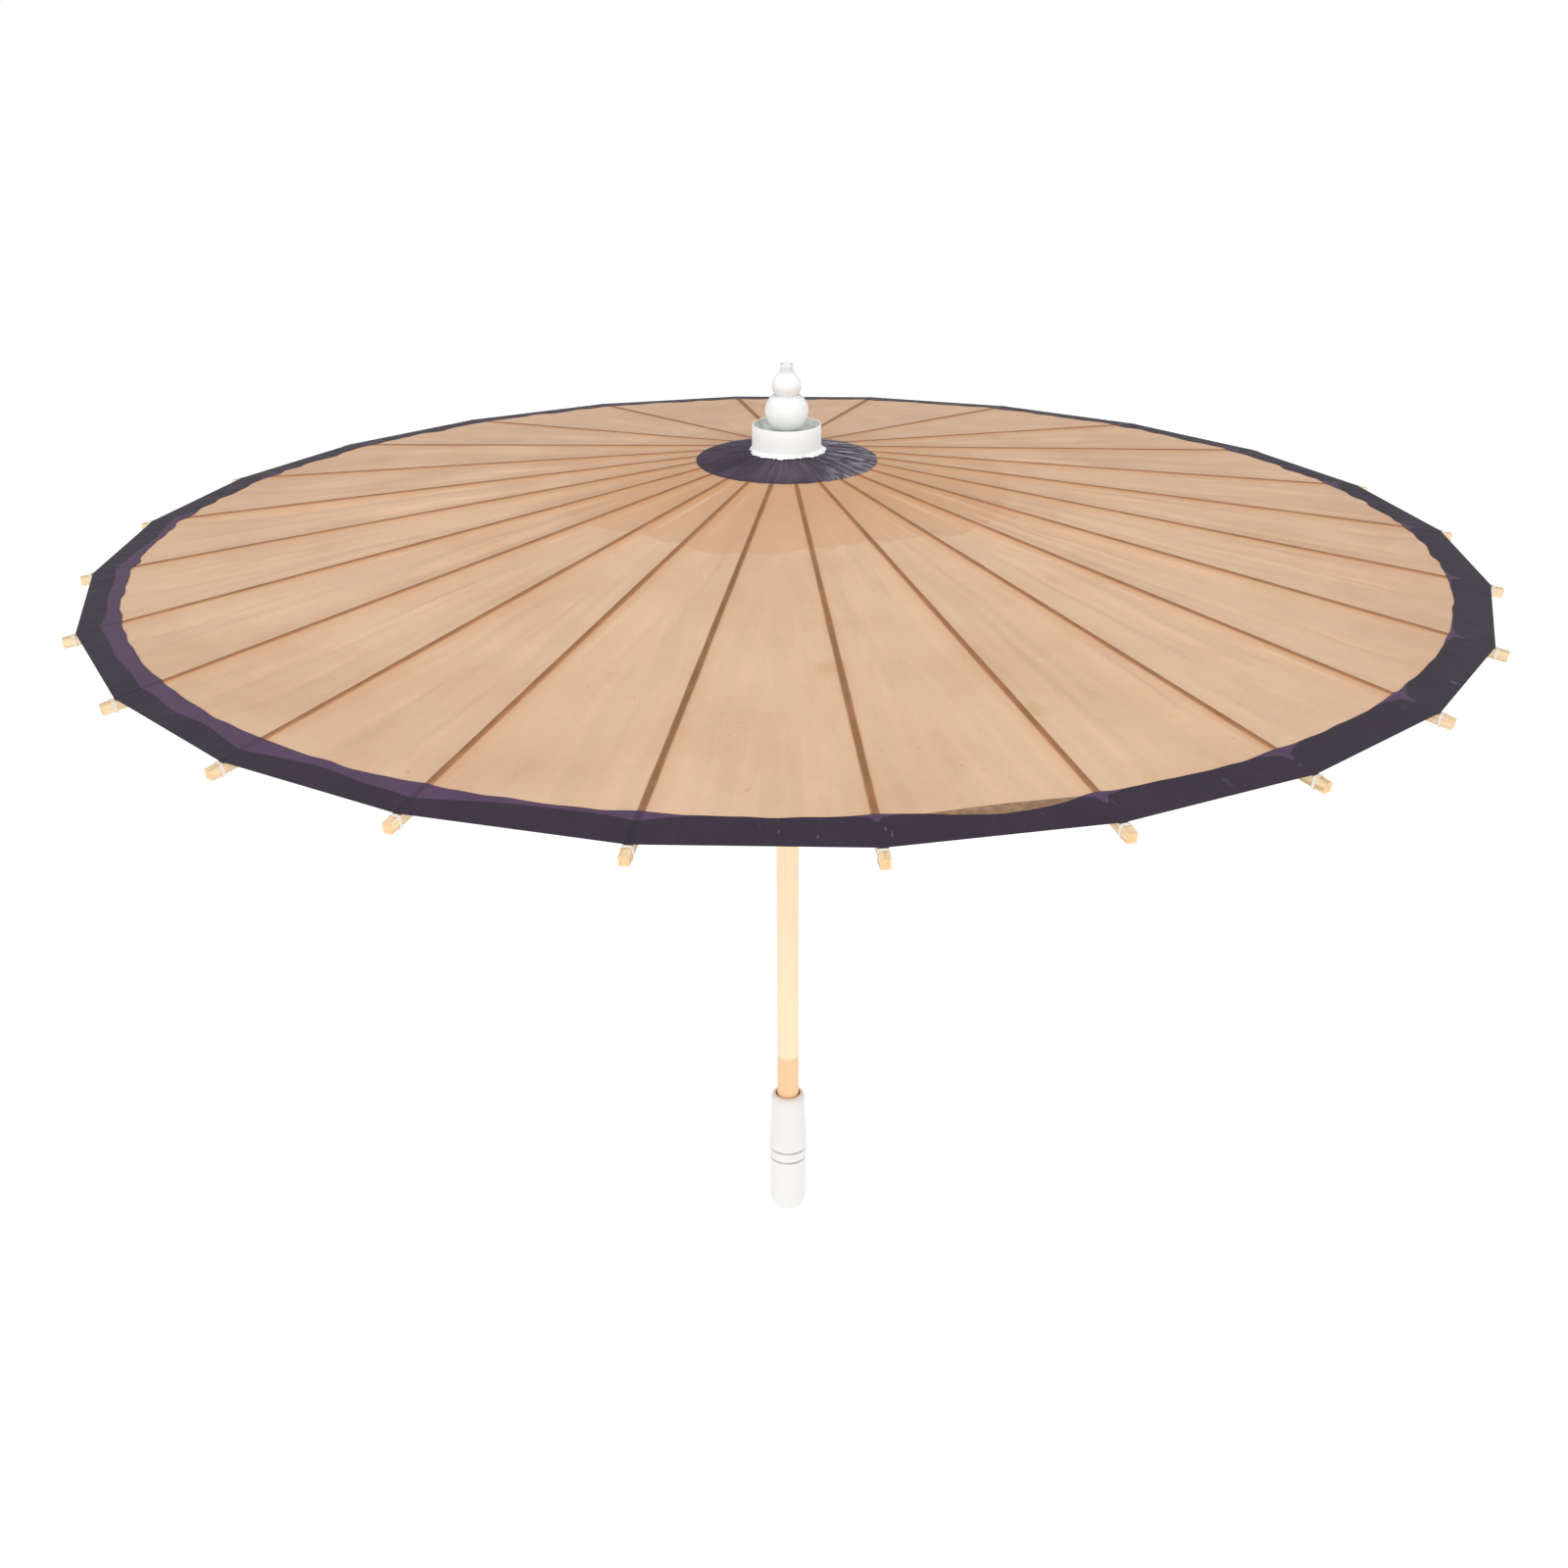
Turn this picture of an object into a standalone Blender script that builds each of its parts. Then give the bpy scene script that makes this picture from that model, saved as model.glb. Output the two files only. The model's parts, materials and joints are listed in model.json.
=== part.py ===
"""Oil paper umbrella: ribs and stretchers of split bamboo, hinged on wire between two slotted
wooden hubs, on a bamboo shaft with a white turned grip and a gourd finial.

Run with: blender --background --python part.py
Metres, +Z up the shaft, origin at the centre of the grip's end.
"""

import math

import bmesh
import bpy
from mathutils import Matrix

# ---- driving dimensions, in metres ----
RIBS = 24
CANOPY_RADIUS = 0.420
RIM_HEIGHT = 0.492
SLOPE = 0.160  # rise of the canopy towards the shaft, per metre of radius
PITCH = math.atan(SLOPE)
SECTOR = math.tau / RIBS

SHAFT_RADIUS = 0.0074
SHAFT_BOTTOM = 0.0220
SHAFT_TOP = 0.5657
RUNNING_GAP = 0.0003
BORE_RADIUS = SHAFT_RADIUS + RUNNING_GAP

# The linkage: rib pivot to knuckle and knuckle to runner pivot are equal, so the runner goes
# straight along the shaft while the ribs fold.
PIVOT_RADIUS = 0.0170
LINK = 0.1950
KNUCKLE_DROP = 0.0064
RIB_TOP = 0.0030  # from the pivot line up to the rib's upper face
RIB_LENGTH = 0.4153
RIB_BELLY = 0.0030  # from the pivot line down to the rib's lower edge
TIP_BELLY = 0.0022  # the same at the rib's tip
TIP_TAPER = 0.0500
KNUCKLE_BOSS = 0.0027
KNUCKLE_SLOT = (0.0260, 0.0022, 0.0120)  # length, width and depth, open below
STRETCHER_HALF_HEIGHT = 0.0023
PAPER_GAP = 0.0003

PAPER_THICKNESS = 0.0003
SKIN_INNER_RADIUS = 0.0200
BAND_WIDTH = 0.0250
DISC_RADIUS = 0.0551

TONGUE_HALF = 0.0009
SLOT_HALF = 0.0012
WIRE_RADIUS = 0.0004
WIRE_HOLE_RADIUS = 0.00075
HUB_RADIUS = 0.0193
HUB_CHAMFER = 0.0012
HUB_LIP = 0.0045  # hub material past the pivot on the side that the bamboo folds to
SLOT_INNER_RADIUS = 0.0133
HUB_SLOT_LENGTH = 0.0090
WIRE_GROOVE_HALF = 0.00075

NOTCH_TOP = 0.5660
CUP_RADIUS = 0.0211
CUP_WALL = 0.0012
CUP_BOTTOM = 0.5572
CUP_FLOOR = 0.5663
CUP_TOP = 0.5726
FINIAL_TOP = 0.6088
PEG_RADIUS = 0.0030
PEG_HOLE_DEPTH = 0.0090
BIG_BALL = (0.0131, 0.5799)  # radius and height of the middle
SMALL_BALL = (0.00895, 0.5975)

GRIP_TOP = 0.0959
GRIP_GROOVES = (0.0520, 0.0438)
GRIP_LIP = 0.0026
GRIP_END_FLAT = 0.0036
DOME_RADIUS = 0.0128
DOME_HEIGHT = 0.0110
GROOVE_DEPTH = 0.0005
GROOVE_HALF = 0.0006

RUNNER_LENGTH = 0.0360  # from its pivots down to its lower edge
SLEEVE_RADIUS = 0.0122
FOOT_RADIUS = 0.0138
SHOULDER_DROP = 0.0075  # from the runner's pivots down to where its collar starts to narrow
CATCH_LENGTH = 0.0430
CATCH_HALF = 0.0015
CATCH_SLOT_FLOOR = 0.0016  # from the shaft's axis to the bottom of the catch's slot

# ---- places worked out from them ----
KNUCKLE_ALONG = math.sqrt(LINK**2 - KNUCKLE_DROP**2)
LINK_ANGLE = PITCH + math.asin(KNUCKLE_DROP / LINK)


def canopy_height(radius):
    """Height of the paper's upper surface above a rib."""
    return RIM_HEIGHT + SLOPE * (CANOPY_RADIUS - radius)


NOTCH_PIVOT = (
    canopy_height(PIVOT_RADIUS) - (PAPER_THICKNESS + PAPER_GAP + RIB_TOP) / math.cos(PITCH)
)
RUNNER_PIVOT = NOTCH_PIVOT - 2 * LINK * math.sin(LINK_ANGLE)
RUNNER_BOTTOM = RUNNER_PIVOT - RUNNER_LENGTH
KNUCKLE_RADIUS = PIVOT_RADIUS + LINK * math.cos(LINK_ANGLE)
KNUCKLE_HEIGHT = NOTCH_PIVOT - LINK * math.sin(LINK_ANGLE)


# ---- scene, collections and materials ----
def empty_scene():
    for thing in list(bpy.data.objects):
        bpy.data.objects.remove(thing, do_unlink=True)


def new_collection(name):
    collection = bpy.data.collections.new(name)
    bpy.context.scene.collection.children.link(collection)
    return collection


def make_material(name, color, roughness, metallic=0.0):
    material = bpy.data.materials.new(name)
    material.use_nodes = True
    shader = material.node_tree.nodes["Principled BSDF"]
    shader.inputs["Base Color"].default_value = (*color, 1.0)
    shader.inputs["Roughness"].default_value = roughness
    shader.inputs["Metallic"].default_value = metallic
    return material


empty_scene()
PARTS = new_collection("oil_paper_umbrella")
CUTTERS = new_collection("cutters")
BAMBOO = make_material("bamboo", (0.62, 0.40, 0.20), 0.55)
SHAFT_WOOD = make_material("shaft_bamboo", (0.86, 0.62, 0.38), 0.40)
HUB_WOOD = make_material("hub_wood", (0.66, 0.46, 0.26), 0.60)
WHITE = make_material("white_plastic", (0.86, 0.86, 0.83), 0.28)
WIRE = make_material("wire", (0.42, 0.40, 0.37), 0.35, 1.0)
BRASS = make_material("spring_metal", (0.62, 0.52, 0.30), 0.35, 1.0)
PAPER = make_material("oiled_paper", (0.72, 0.49, 0.34), 0.45)
PURPLE = make_material("purple_paper", (0.075, 0.050, 0.085), 0.40)


# ---- modelling helpers ----
def add_object(name, mesh, collection, material=None):
    thing = bpy.data.objects.new(name, mesh)
    collection.objects.link(thing)
    if material:
        mesh.materials.clear()
        mesh.materials.append(material)
    if collection is CUTTERS:
        thing.hide_render = True
        thing.display_type = "WIRE"
    return thing


def evaluated_mesh(thing, name):
    """The object's mesh with its modifiers applied, in world space and with doubles merged."""
    bpy.context.view_layer.update()
    graph = bpy.context.evaluated_depsgraph_get()
    mesh = bpy.data.meshes.new_from_object(thing.evaluated_get(graph))
    mesh.transform(thing.matrix_world)
    mesh.name = name
    work = bmesh.new()
    work.from_mesh(mesh)
    bmesh.ops.remove_doubles(work, verts=work.verts, dist=1e-6)
    work.to_mesh(mesh)
    work.free()
    return mesh


def outline(name, points, half_thickness, across, collection=CUTTERS):
    """A flat outline filled and extruded both ways; across is the way its thickness runs.

    The outline's points are (along X, the other way): Z for across "Y", Y for across "Z".
    """
    curve = bpy.data.curves.new(name, "CURVE")
    curve.dimensions = "2D"
    curve.fill_mode = "BOTH"
    curve.extrude = half_thickness
    spline = curve.splines.new("POLY")
    spline.points.add(len(points) - 1)
    for point, (x, y) in zip(spline.points, points):
        point.co = (x, y, 0.0, 1.0)
    spline.use_cyclic_u = True
    flat = bpy.data.objects.new(name, curve)
    CUTTERS.objects.link(flat)
    if across == "Y":
        flat.rotation_euler = (math.pi / 2, 0.0, 0.0)
    mesh = evaluated_mesh(flat, name)
    bpy.data.objects.remove(flat, do_unlink=True)
    return add_object(name, mesh, collection)


def turned(name, profile, steps, material=None, collection=PARTS):
    """A closed (radius, height) profile, listed down its outer side, turned about Z."""
    work = bmesh.new()
    ring = [work.verts.new((radius, 0.0, height)) for radius, height in profile]
    on_axis = profile[0][0] == 0.0 and profile[-1][0] == 0.0
    for first, second in zip(ring, ring[1:] + ([] if on_axis else ring[:1])):
        work.edges.new((first, second))
    mesh = bpy.data.meshes.new(name)
    work.to_mesh(mesh)
    work.free()
    thing = add_object(name, mesh, collection, material)
    screw = thing.modifiers.new("turn", "SCREW")
    screw.axis = "Z"
    screw.steps = steps
    screw.render_steps = steps
    screw.use_merge_vertices = True
    screw.merge_threshold = 1e-6
    return thing


def cylinder(name, radius, depth, centre, across, sides=8):
    """A plain cylinder lying along Y or standing along Z, as a cutter or a piece to join."""
    work = bmesh.new()
    bmesh.ops.create_cone(
        work, cap_ends=True, segments=sides, radius1=radius, radius2=radius, depth=depth
    )
    mesh = bpy.data.meshes.new(name)
    work.to_mesh(mesh)
    work.free()
    turn = Matrix.Rotation(math.pi / 2, 4, "X") if across == "Y" else Matrix.Identity(4)
    mesh.transform(Matrix.Translation(centre) @ turn)
    return add_object(name, mesh, CUTTERS)


def add_box(work, size, place):
    matrix = place @ Matrix.Diagonal((*size, 1.0))
    bmesh.ops.create_cube(work, size=1.0, matrix=matrix)


def combine(thing, other, operation):
    boolean = thing.modifiers.new(operation.lower(), "BOOLEAN")
    boolean.object = other
    boolean.operation = operation
    boolean.solver = "EXACT"


def finish_shape(thing, name):
    """The shape with its Booleans applied, as a mesh to share; the working object goes."""
    mesh = evaluated_mesh(thing, name)
    bpy.data.objects.remove(thing, do_unlink=True)
    mesh.shade_smooth()
    mesh.set_sharp_from_angle(angle=math.radians(35))
    return mesh


def arc(centre, radius, start_deg, end_deg, count):
    """Points on an arc, both ends included."""
    points = []
    for step in range(count + 1):
        angle = math.radians(start_deg + (end_deg - start_deg) * step / count)
        points.append(
            (centre[0] + radius * math.cos(angle), centre[1] + radius * math.sin(angle))
        )
    return points


# ---- ribs and stretchers ----
def rib_mesh():
    """One rib along +X from its pivot, its upper face flat, with a slotted knuckle below."""
    knee = KNUCKLE_ALONG
    drop = -KNUCKLE_DROP
    belly = -RIB_BELLY
    cheek = drop - 0.0014  # where the straight flanks of the boss meet its round
    side = [
        *arc((0.0, 0.0), RIB_TOP, 90, 270, 5),
        (knee - 0.0090, belly),
        (knee - 0.0025, cheek),
        *arc((knee, drop), KNUCKLE_BOSS, 225, 315, 3),
        (knee + 0.0025, cheek),
        (knee + 0.0090, belly),
        (RIB_LENGTH - TIP_TAPER, belly),
        (RIB_LENGTH, -TIP_BELLY),
        (RIB_LENGTH, RIB_TOP),
    ]
    half_widths = [
        (-0.0040, TONGUE_HALF),
        (0.0055, TONGUE_HALF),
        (0.0075, 0.0016),
        (knee - 0.0120, 0.0020),
        (knee - 0.0080, 0.0023),
        (knee + 0.0080, 0.0023),
        (knee + 0.0120, 0.0020),
        (RIB_LENGTH + 0.0010, 0.0024),
    ]
    right = [(x, -half) for x, half in half_widths]
    left = [(x, half) for x, half in reversed(half_widths)]
    rib = outline("rib_side", side, 0.0060, "Y")
    plan = outline("rib_plan", right + left, 0.0150, "Z")
    combine(rib, plan, "INTERSECT")
    slot = bmesh.new()
    slot_middle = drop + KNUCKLE_BOSS - KNUCKLE_SLOT[2] / 2
    add_box(slot, KNUCKLE_SLOT, Matrix.Translation((knee, 0.0, slot_middle)))
    slot_mesh = bpy.data.meshes.new("knuckle_slot")
    slot.to_mesh(slot_mesh)
    slot.free()
    cutters = [
        plan,
        add_object("knuckle_slot", slot_mesh, CUTTERS),
        cylinder("wire_hole", WIRE_HOLE_RADIUS, 0.02, (0.0, 0.0, 0.0), "Y"),
        cylinder("knuckle_hole", 0.0008, 0.02, (knee, 0.0, drop), "Y"),
    ]
    for cutter in cutters[1:]:
        combine(rib, cutter, "DIFFERENCE")
    mesh = finish_shape(rib, "rib")
    for cutter in cutters:
        bpy.data.objects.remove(cutter, do_unlink=True)
    return mesh


def stretcher_mesh():
    """One stretcher along +X from its knuckle pin to its runner pivot."""
    side = [
        *arc((0.0, 0.0), STRETCHER_HALF_HEIGHT - 0.0001, 90, 270, 5),
        (0.0090, -STRETCHER_HALF_HEIGHT),
        *arc((LINK, 0.0), STRETCHER_HALF_HEIGHT + 0.0002, -90, 90, 5),
        (0.0090, STRETCHER_HALF_HEIGHT),
    ]
    half_widths = [
        (-0.0040, 0.00085),
        (0.0090, 0.00085),
        (0.0115, 0.0017),
        (LINK - 0.0075, 0.0016),
        (LINK - 0.0055, TONGUE_HALF),
        (LINK + 0.0040, TONGUE_HALF),
    ]
    right = [(x, -half) for x, half in half_widths]
    left = [(x, half) for x, half in reversed(half_widths)]
    stretcher = outline("stretcher_side", side, 0.0060, "Y")
    plan = outline("stretcher_plan", right + left, 0.0150, "Z")
    combine(stretcher, plan, "INTERSECT")
    pin = cylinder("knuckle_pin", 0.0005, 0.0042, (0.0, 0.0, 0.0), "Y", 6)
    combine(stretcher, pin, "UNION")
    hole = cylinder("wire_hole", WIRE_HOLE_RADIUS, 0.02, (LINK, 0.0, 0.0), "Y")
    combine(stretcher, hole, "DIFFERENCE")
    mesh = finish_shape(stretcher, "stretcher")
    for cutter in (plan, pin, hole):
        bpy.data.objects.remove(cutter, do_unlink=True)
    return mesh


def add_ribs_and_stretchers():
    """Each pair of rib and stretcher, its origins on its own pivots; the first rib is at -Y."""
    rib = rib_mesh()
    stretcher = stretcher_mesh()
    for index in range(RIBS):
        azimuth = -math.pi / 2 + index * SECTOR
        out = (math.cos(azimuth), math.sin(azimuth))
        number = f"{index + 1:02d}"
        first = add_object("rib_" + number, rib, PARTS, BAMBOO)
        first.location = (PIVOT_RADIUS * out[0], PIVOT_RADIUS * out[1], NOTCH_PIVOT)
        first.rotation_euler = (0.0, PITCH, azimuth)
        second = add_object("stretcher_" + number, stretcher, PARTS, BAMBOO)
        second.location = (KNUCKLE_RADIUS * out[0], KNUCKLE_RADIUS * out[1], KNUCKLE_HEIGHT)
        second.rotation_euler = (0.0, math.pi - LINK_ANGLE, azimuth)


# ---- hubs ----
def slot_cutter(name, low, high):
    """A radial slot box for each rib, from low to high."""
    work = bmesh.new()
    middle = SLOT_INNER_RADIUS + HUB_SLOT_LENGTH / 2
    for index in range(RIBS):
        turn = Matrix.Rotation(index * SECTOR, 4, "Z")
        place = turn @ Matrix.Translation((middle, 0.0, (low + high) / 2))
        add_box(work, (HUB_SLOT_LENGTH, 2 * SLOT_HALF, high - low), place)
    mesh = bpy.data.meshes.new(name)
    work.to_mesh(mesh)
    work.free()
    return add_object(name, mesh, CUTTERS)


def groove_cutter(name, height):
    """The ring groove that a hub's wire lies in, open to the outside."""
    inner = PIVOT_RADIUS - 0.0008
    outer = HUB_RADIUS + 0.0010
    profile = [
        (outer, height + WIRE_GROOVE_HALF),
        (outer, height - WIRE_GROOVE_HALF),
        (inner, height - WIRE_GROOVE_HALF),
        (inner, height + WIRE_GROOVE_HALF),
    ]
    return turned(name, profile, RIBS, collection=CUTTERS)


def wire_ring(name, height):
    """A hub's wire, threaded through every slot and every piece of bamboo."""
    bpy.ops.mesh.primitive_torus_add(
        major_segments=RIBS,
        minor_segments=5,
        major_radius=PIVOT_RADIUS,
        minor_radius=WIRE_RADIUS,
        location=(0.0, 0.0, height),
    )
    ring = bpy.context.object
    ring.name = name
    for owner in list(ring.users_collection):
        owner.objects.unlink(ring)
    PARTS.objects.link(ring)
    ring.data.materials.append(WIRE)
    ring.data.shade_smooth()


def add_notch():
    low = NOTCH_PIVOT - HUB_LIP
    profile = [
        (HUB_RADIUS - HUB_CHAMFER, NOTCH_TOP),
        (HUB_RADIUS, NOTCH_TOP - HUB_CHAMFER),
        (HUB_RADIUS, low + HUB_CHAMFER),
        (HUB_RADIUS - HUB_CHAMFER, low),
        (BORE_RADIUS, low),
        (BORE_RADIUS, NOTCH_TOP),
    ]
    notch = turned("notch", profile, RIBS, HUB_WOOD)
    combine(notch, slot_cutter("notch_slots", low - 0.001, NOTCH_PIVOT + 0.0036), "DIFFERENCE")
    combine(notch, groove_cutter("notch_groove", NOTCH_PIVOT), "DIFFERENCE")
    wire_ring("notch_wire", NOTCH_PIVOT)


def add_runner():
    high = RUNNER_PIVOT + HUB_LIP
    shoulder = RUNNER_PIVOT - SHOULDER_DROP
    profile = [
        (HUB_RADIUS - HUB_CHAMFER, high),
        (HUB_RADIUS, high - HUB_CHAMFER),
        (HUB_RADIUS, shoulder),
        (SLEEVE_RADIUS, shoulder - 0.0050),
        (SLEEVE_RADIUS, RUNNER_BOTTOM + 0.0050),
        (FOOT_RADIUS, RUNNER_BOTTOM + 0.0035),
        (FOOT_RADIUS, RUNNER_BOTTOM),
        (BORE_RADIUS, RUNNER_BOTTOM),
        (BORE_RADIUS, high),
    ]
    runner = turned("runner", profile, RIBS, HUB_WOOD)
    combine(runner, slot_cutter("runner_slots", RUNNER_PIVOT - 0.0032, high + 0.001), "DIFFERENCE")
    combine(runner, groove_cutter("runner_groove", RUNNER_PIVOT), "DIFFERENCE")
    wire_ring("runner_wire", RUNNER_PIVOT)


# ---- shaft, catch, grip, cup and finial ----
def add_shaft():
    profile = [
        (0.0, SHAFT_TOP - PEG_HOLE_DEPTH),
        (PEG_RADIUS + RUNNING_GAP, SHAFT_TOP - PEG_HOLE_DEPTH),
        (PEG_RADIUS + RUNNING_GAP, SHAFT_TOP),
        (SHAFT_RADIUS, SHAFT_TOP),
        (SHAFT_RADIUS, SHAFT_BOTTOM),
        (0.0, SHAFT_BOTTOM),
    ]
    shaft = turned("shaft", profile, 24, SHAFT_WOOD)
    catch_top = RUNNER_BOTTOM - RUNNING_GAP
    low = catch_top - CATCH_LENGTH - RUNNING_GAP
    high = catch_top + 0.0020
    work = bmesh.new()
    reach = 0.0100
    place = Matrix.Translation((CATCH_SLOT_FLOOR + reach / 2, 0.0, (low + high) / 2))
    add_box(work, (reach, 2 * (CATCH_HALF + RUNNING_GAP), high - low), place)
    mesh = bpy.data.meshes.new("catch_slot")
    work.to_mesh(mesh)
    work.free()
    combine(shaft, add_object("catch_slot", mesh, CUTTERS), "DIFFERENCE")


def add_catch_spring():
    """A leaf sunk in the shaft that leans out under the runner and holds it up."""
    high = RUNNER_BOTTOM - RUNNING_GAP
    low = high - CATCH_LENGTH
    side = [
        (0.0040, low),
        (0.0056, low),
        (0.0070, low + 0.0290),
        (0.0100, high - 0.0040),
        (0.0100, high),
        (0.0059, high),
    ]
    pivot = (0.0048, 0.0, low + 0.0015)
    flat = outline("leaf", side, CATCH_HALF, "Y")
    flat.data.transform(Matrix.Translation([-value for value in pivot]))
    mesh = finish_shape(flat, "catch_spring")
    catch = add_object("catch_spring", mesh, PARTS, BRASS)
    catch.location = pivot


def grip_profile():
    """Down the outside from the rounded lip to the domed end, and the bore's blind end."""
    outside = arc((0.0094, GRIP_TOP - GRIP_LIP), GRIP_LIP, 110, 0, 4)
    outside.append((0.0122, 0.0800))
    outside.append((0.0127, 0.0690))
    outside.append((0.0133, GRIP_GROOVES[0] + 0.0022))
    for height, radius in zip(GRIP_GROOVES, (0.0132, 0.0131)):
        outside.append((radius, height + GROOVE_HALF))
        outside.append((radius - GROOVE_DEPTH, height))
        outside.append((radius, height - GROOVE_HALF))
    outside.append((0.0126, GRIP_GROOVES[1] - 0.0040))
    outside.append((DOME_RADIUS, DOME_HEIGHT + 0.0060))
    for degrees in (0.0, 19.5, 39.0, 58.5):
        angle = math.radians(degrees)
        depth = DOME_HEIGHT * (1 - math.sin(angle))
        outside.append((DOME_RADIUS * math.cos(angle), depth))
    outside.append((GRIP_END_FLAT, 0.0))
    bore_end = SHAFT_BOTTOM - RUNNING_GAP
    return [*outside, (0.0, 0.0)], [(0.0, bore_end), (BORE_RADIUS, bore_end)]


def add_grip():
    outside, bore = grip_profile()
    mouth = [(BORE_RADIUS, GRIP_TOP - 0.0012)]
    turned("grip", [*bore, *mouth, *outside], 24, WHITE)


def add_cup():
    """The cup over the notch: an outer wall with a floor part way up, its middle left open."""
    inner = CUP_RADIUS - CUP_WALL
    floor_top = CUP_FLOOR + CUP_WALL
    hole = PEG_RADIUS + RUNNING_GAP
    profile = [
        (inner, CUP_TOP),
        (CUP_RADIUS - 0.0003, CUP_TOP),
        (CUP_RADIUS, CUP_TOP - 0.0003),
        (CUP_RADIUS, CUP_BOTTOM),
        (inner, CUP_BOTTOM),
        (inner, CUP_FLOOR),
        (hole, CUP_FLOOR),
        (hole, floor_top),
        (inner, floor_top),
    ]
    turned("head_cup", profile, 32, WHITE)


def add_finial():
    """A gourd: a large ball, a smaller one over it, a short neck, and a peg below."""
    seat = CUP_FLOOR + CUP_WALL + RUNNING_GAP
    peg_end = SHAFT_TOP - PEG_HOLE_DEPTH + 0.0005
    profile = [(0.0, FINIAL_TOP), (0.0036, FINIAL_TOP), (0.0039, FINIAL_TOP - 0.0004)]
    profile.append((0.0042, FINIAL_TOP - 0.0022))
    for angle in (50, 32, 14, -8, -30, -46):
        tall = 0.0084 if angle > 0 else 0.0105  # the small ball is drawn out downwards
        radius = SMALL_BALL[0] * math.cos(math.radians(angle))
        profile.append((radius, SMALL_BALL[1] + tall * math.sin(math.radians(angle))))
    for angle in (48, 34, 17, 0, -17, -34, -50):
        radius = BIG_BALL[0] * math.cos(math.radians(angle))
        profile.append((radius, BIG_BALL[1] + BIG_BALL[0] * math.sin(math.radians(angle))))
    profile.append((0.0060, seat))
    profile.append((PEG_RADIUS, seat))
    profile.append((PEG_RADIUS, peg_end))
    profile.append((0.0, peg_end))
    turned("finial", profile, 24, WHITE)


# ---- paper skins ----
def add_skin(name, inner, outer, lift, material):
    """A thin many-sided ring on the ribs' upper faces, lift above the paper's underside."""
    low_in = canopy_height(inner) - PAPER_THICKNESS + lift
    low_out = canopy_height(outer) - PAPER_THICKNESS + lift
    profile = [
        (inner, low_in + PAPER_THICKNESS),
        (outer, low_out + PAPER_THICKNESS),
        (outer, low_out),
        (inner, low_in),
    ]
    turned(name, profile, RIBS, material)


def add_skins():
    over = PAPER_THICKNESS + PAPER_GAP
    add_skin("canopy_paper", SKIN_INNER_RADIUS, CANOPY_RADIUS - 0.0015, 0.0, PAPER)
    add_skin("rim_band", CANOPY_RADIUS - BAND_WIDTH, CANOPY_RADIUS, over, PURPLE)
    add_skin("crown_disc", SKIN_INNER_RADIUS + 0.0003, DISC_RADIUS, over, PURPLE)


add_ribs_and_stretchers()
add_notch()
add_runner()
add_shaft()
add_catch_spring()
add_grip()
add_cup()
add_finial()
add_skins()
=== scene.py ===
"""The looks of the oil paper umbrella: paper skins, bamboo, turned white pieces and the stage.

Laid out as a Blender add-on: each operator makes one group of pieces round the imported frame.
"""

import json
import math

import bmesh
import bpy
import numpy as np
from bpy.props import FloatProperty, FloatVectorProperty, IntProperty, PointerProperty
from mathutils import Matrix, Vector

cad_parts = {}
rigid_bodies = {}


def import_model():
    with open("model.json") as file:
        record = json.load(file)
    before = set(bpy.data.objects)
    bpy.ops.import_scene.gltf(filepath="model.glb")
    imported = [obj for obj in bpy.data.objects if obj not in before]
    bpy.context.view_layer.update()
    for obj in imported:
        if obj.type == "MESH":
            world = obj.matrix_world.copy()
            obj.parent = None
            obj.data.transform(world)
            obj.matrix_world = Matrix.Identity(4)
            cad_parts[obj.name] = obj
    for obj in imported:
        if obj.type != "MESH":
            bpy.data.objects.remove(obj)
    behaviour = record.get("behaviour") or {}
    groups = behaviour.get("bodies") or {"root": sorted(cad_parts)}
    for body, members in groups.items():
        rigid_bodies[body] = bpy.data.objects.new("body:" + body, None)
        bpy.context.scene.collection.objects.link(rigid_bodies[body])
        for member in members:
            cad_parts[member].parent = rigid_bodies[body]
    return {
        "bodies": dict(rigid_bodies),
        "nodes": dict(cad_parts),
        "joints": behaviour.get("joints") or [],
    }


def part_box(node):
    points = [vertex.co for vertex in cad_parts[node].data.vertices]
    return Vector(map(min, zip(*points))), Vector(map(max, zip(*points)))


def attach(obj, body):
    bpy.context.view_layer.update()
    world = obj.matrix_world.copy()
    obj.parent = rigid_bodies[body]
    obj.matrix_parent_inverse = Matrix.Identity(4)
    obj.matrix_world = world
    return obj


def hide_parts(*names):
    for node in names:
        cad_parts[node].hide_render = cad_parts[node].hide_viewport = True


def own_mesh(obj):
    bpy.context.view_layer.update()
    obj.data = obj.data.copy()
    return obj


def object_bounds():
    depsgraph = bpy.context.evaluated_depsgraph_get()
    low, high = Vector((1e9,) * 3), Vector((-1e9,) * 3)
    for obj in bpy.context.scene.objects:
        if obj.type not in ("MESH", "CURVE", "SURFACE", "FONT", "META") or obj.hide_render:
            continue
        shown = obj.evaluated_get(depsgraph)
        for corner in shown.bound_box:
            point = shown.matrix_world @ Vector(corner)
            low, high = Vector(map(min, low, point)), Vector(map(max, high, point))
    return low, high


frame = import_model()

bl_info = {
    "name": "Oil Paper Umbrella",
    "version": (1, 0, 0),
    "blender": (4, 5, 0),
    "location": "View3D > Sidebar > Umbrella",
    "description": "Makes the paper, bamboo and turned pieces of an oil paper umbrella",
    "category": "Add Mesh",
}

# ---- the frame's own sizes, in metres ----
CAD_BOX = [list(corner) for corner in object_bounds()]
JOINTS = {joint["name"]: joint for joint in frame["joints"]}
RIBS = sum(name.startswith("rib_") for name in frame["bodies"])
SECTOR = math.tau / RIBS
HALF_SECTOR = SECTOR / 2
FIRST_RIB = -math.pi / 2

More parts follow.
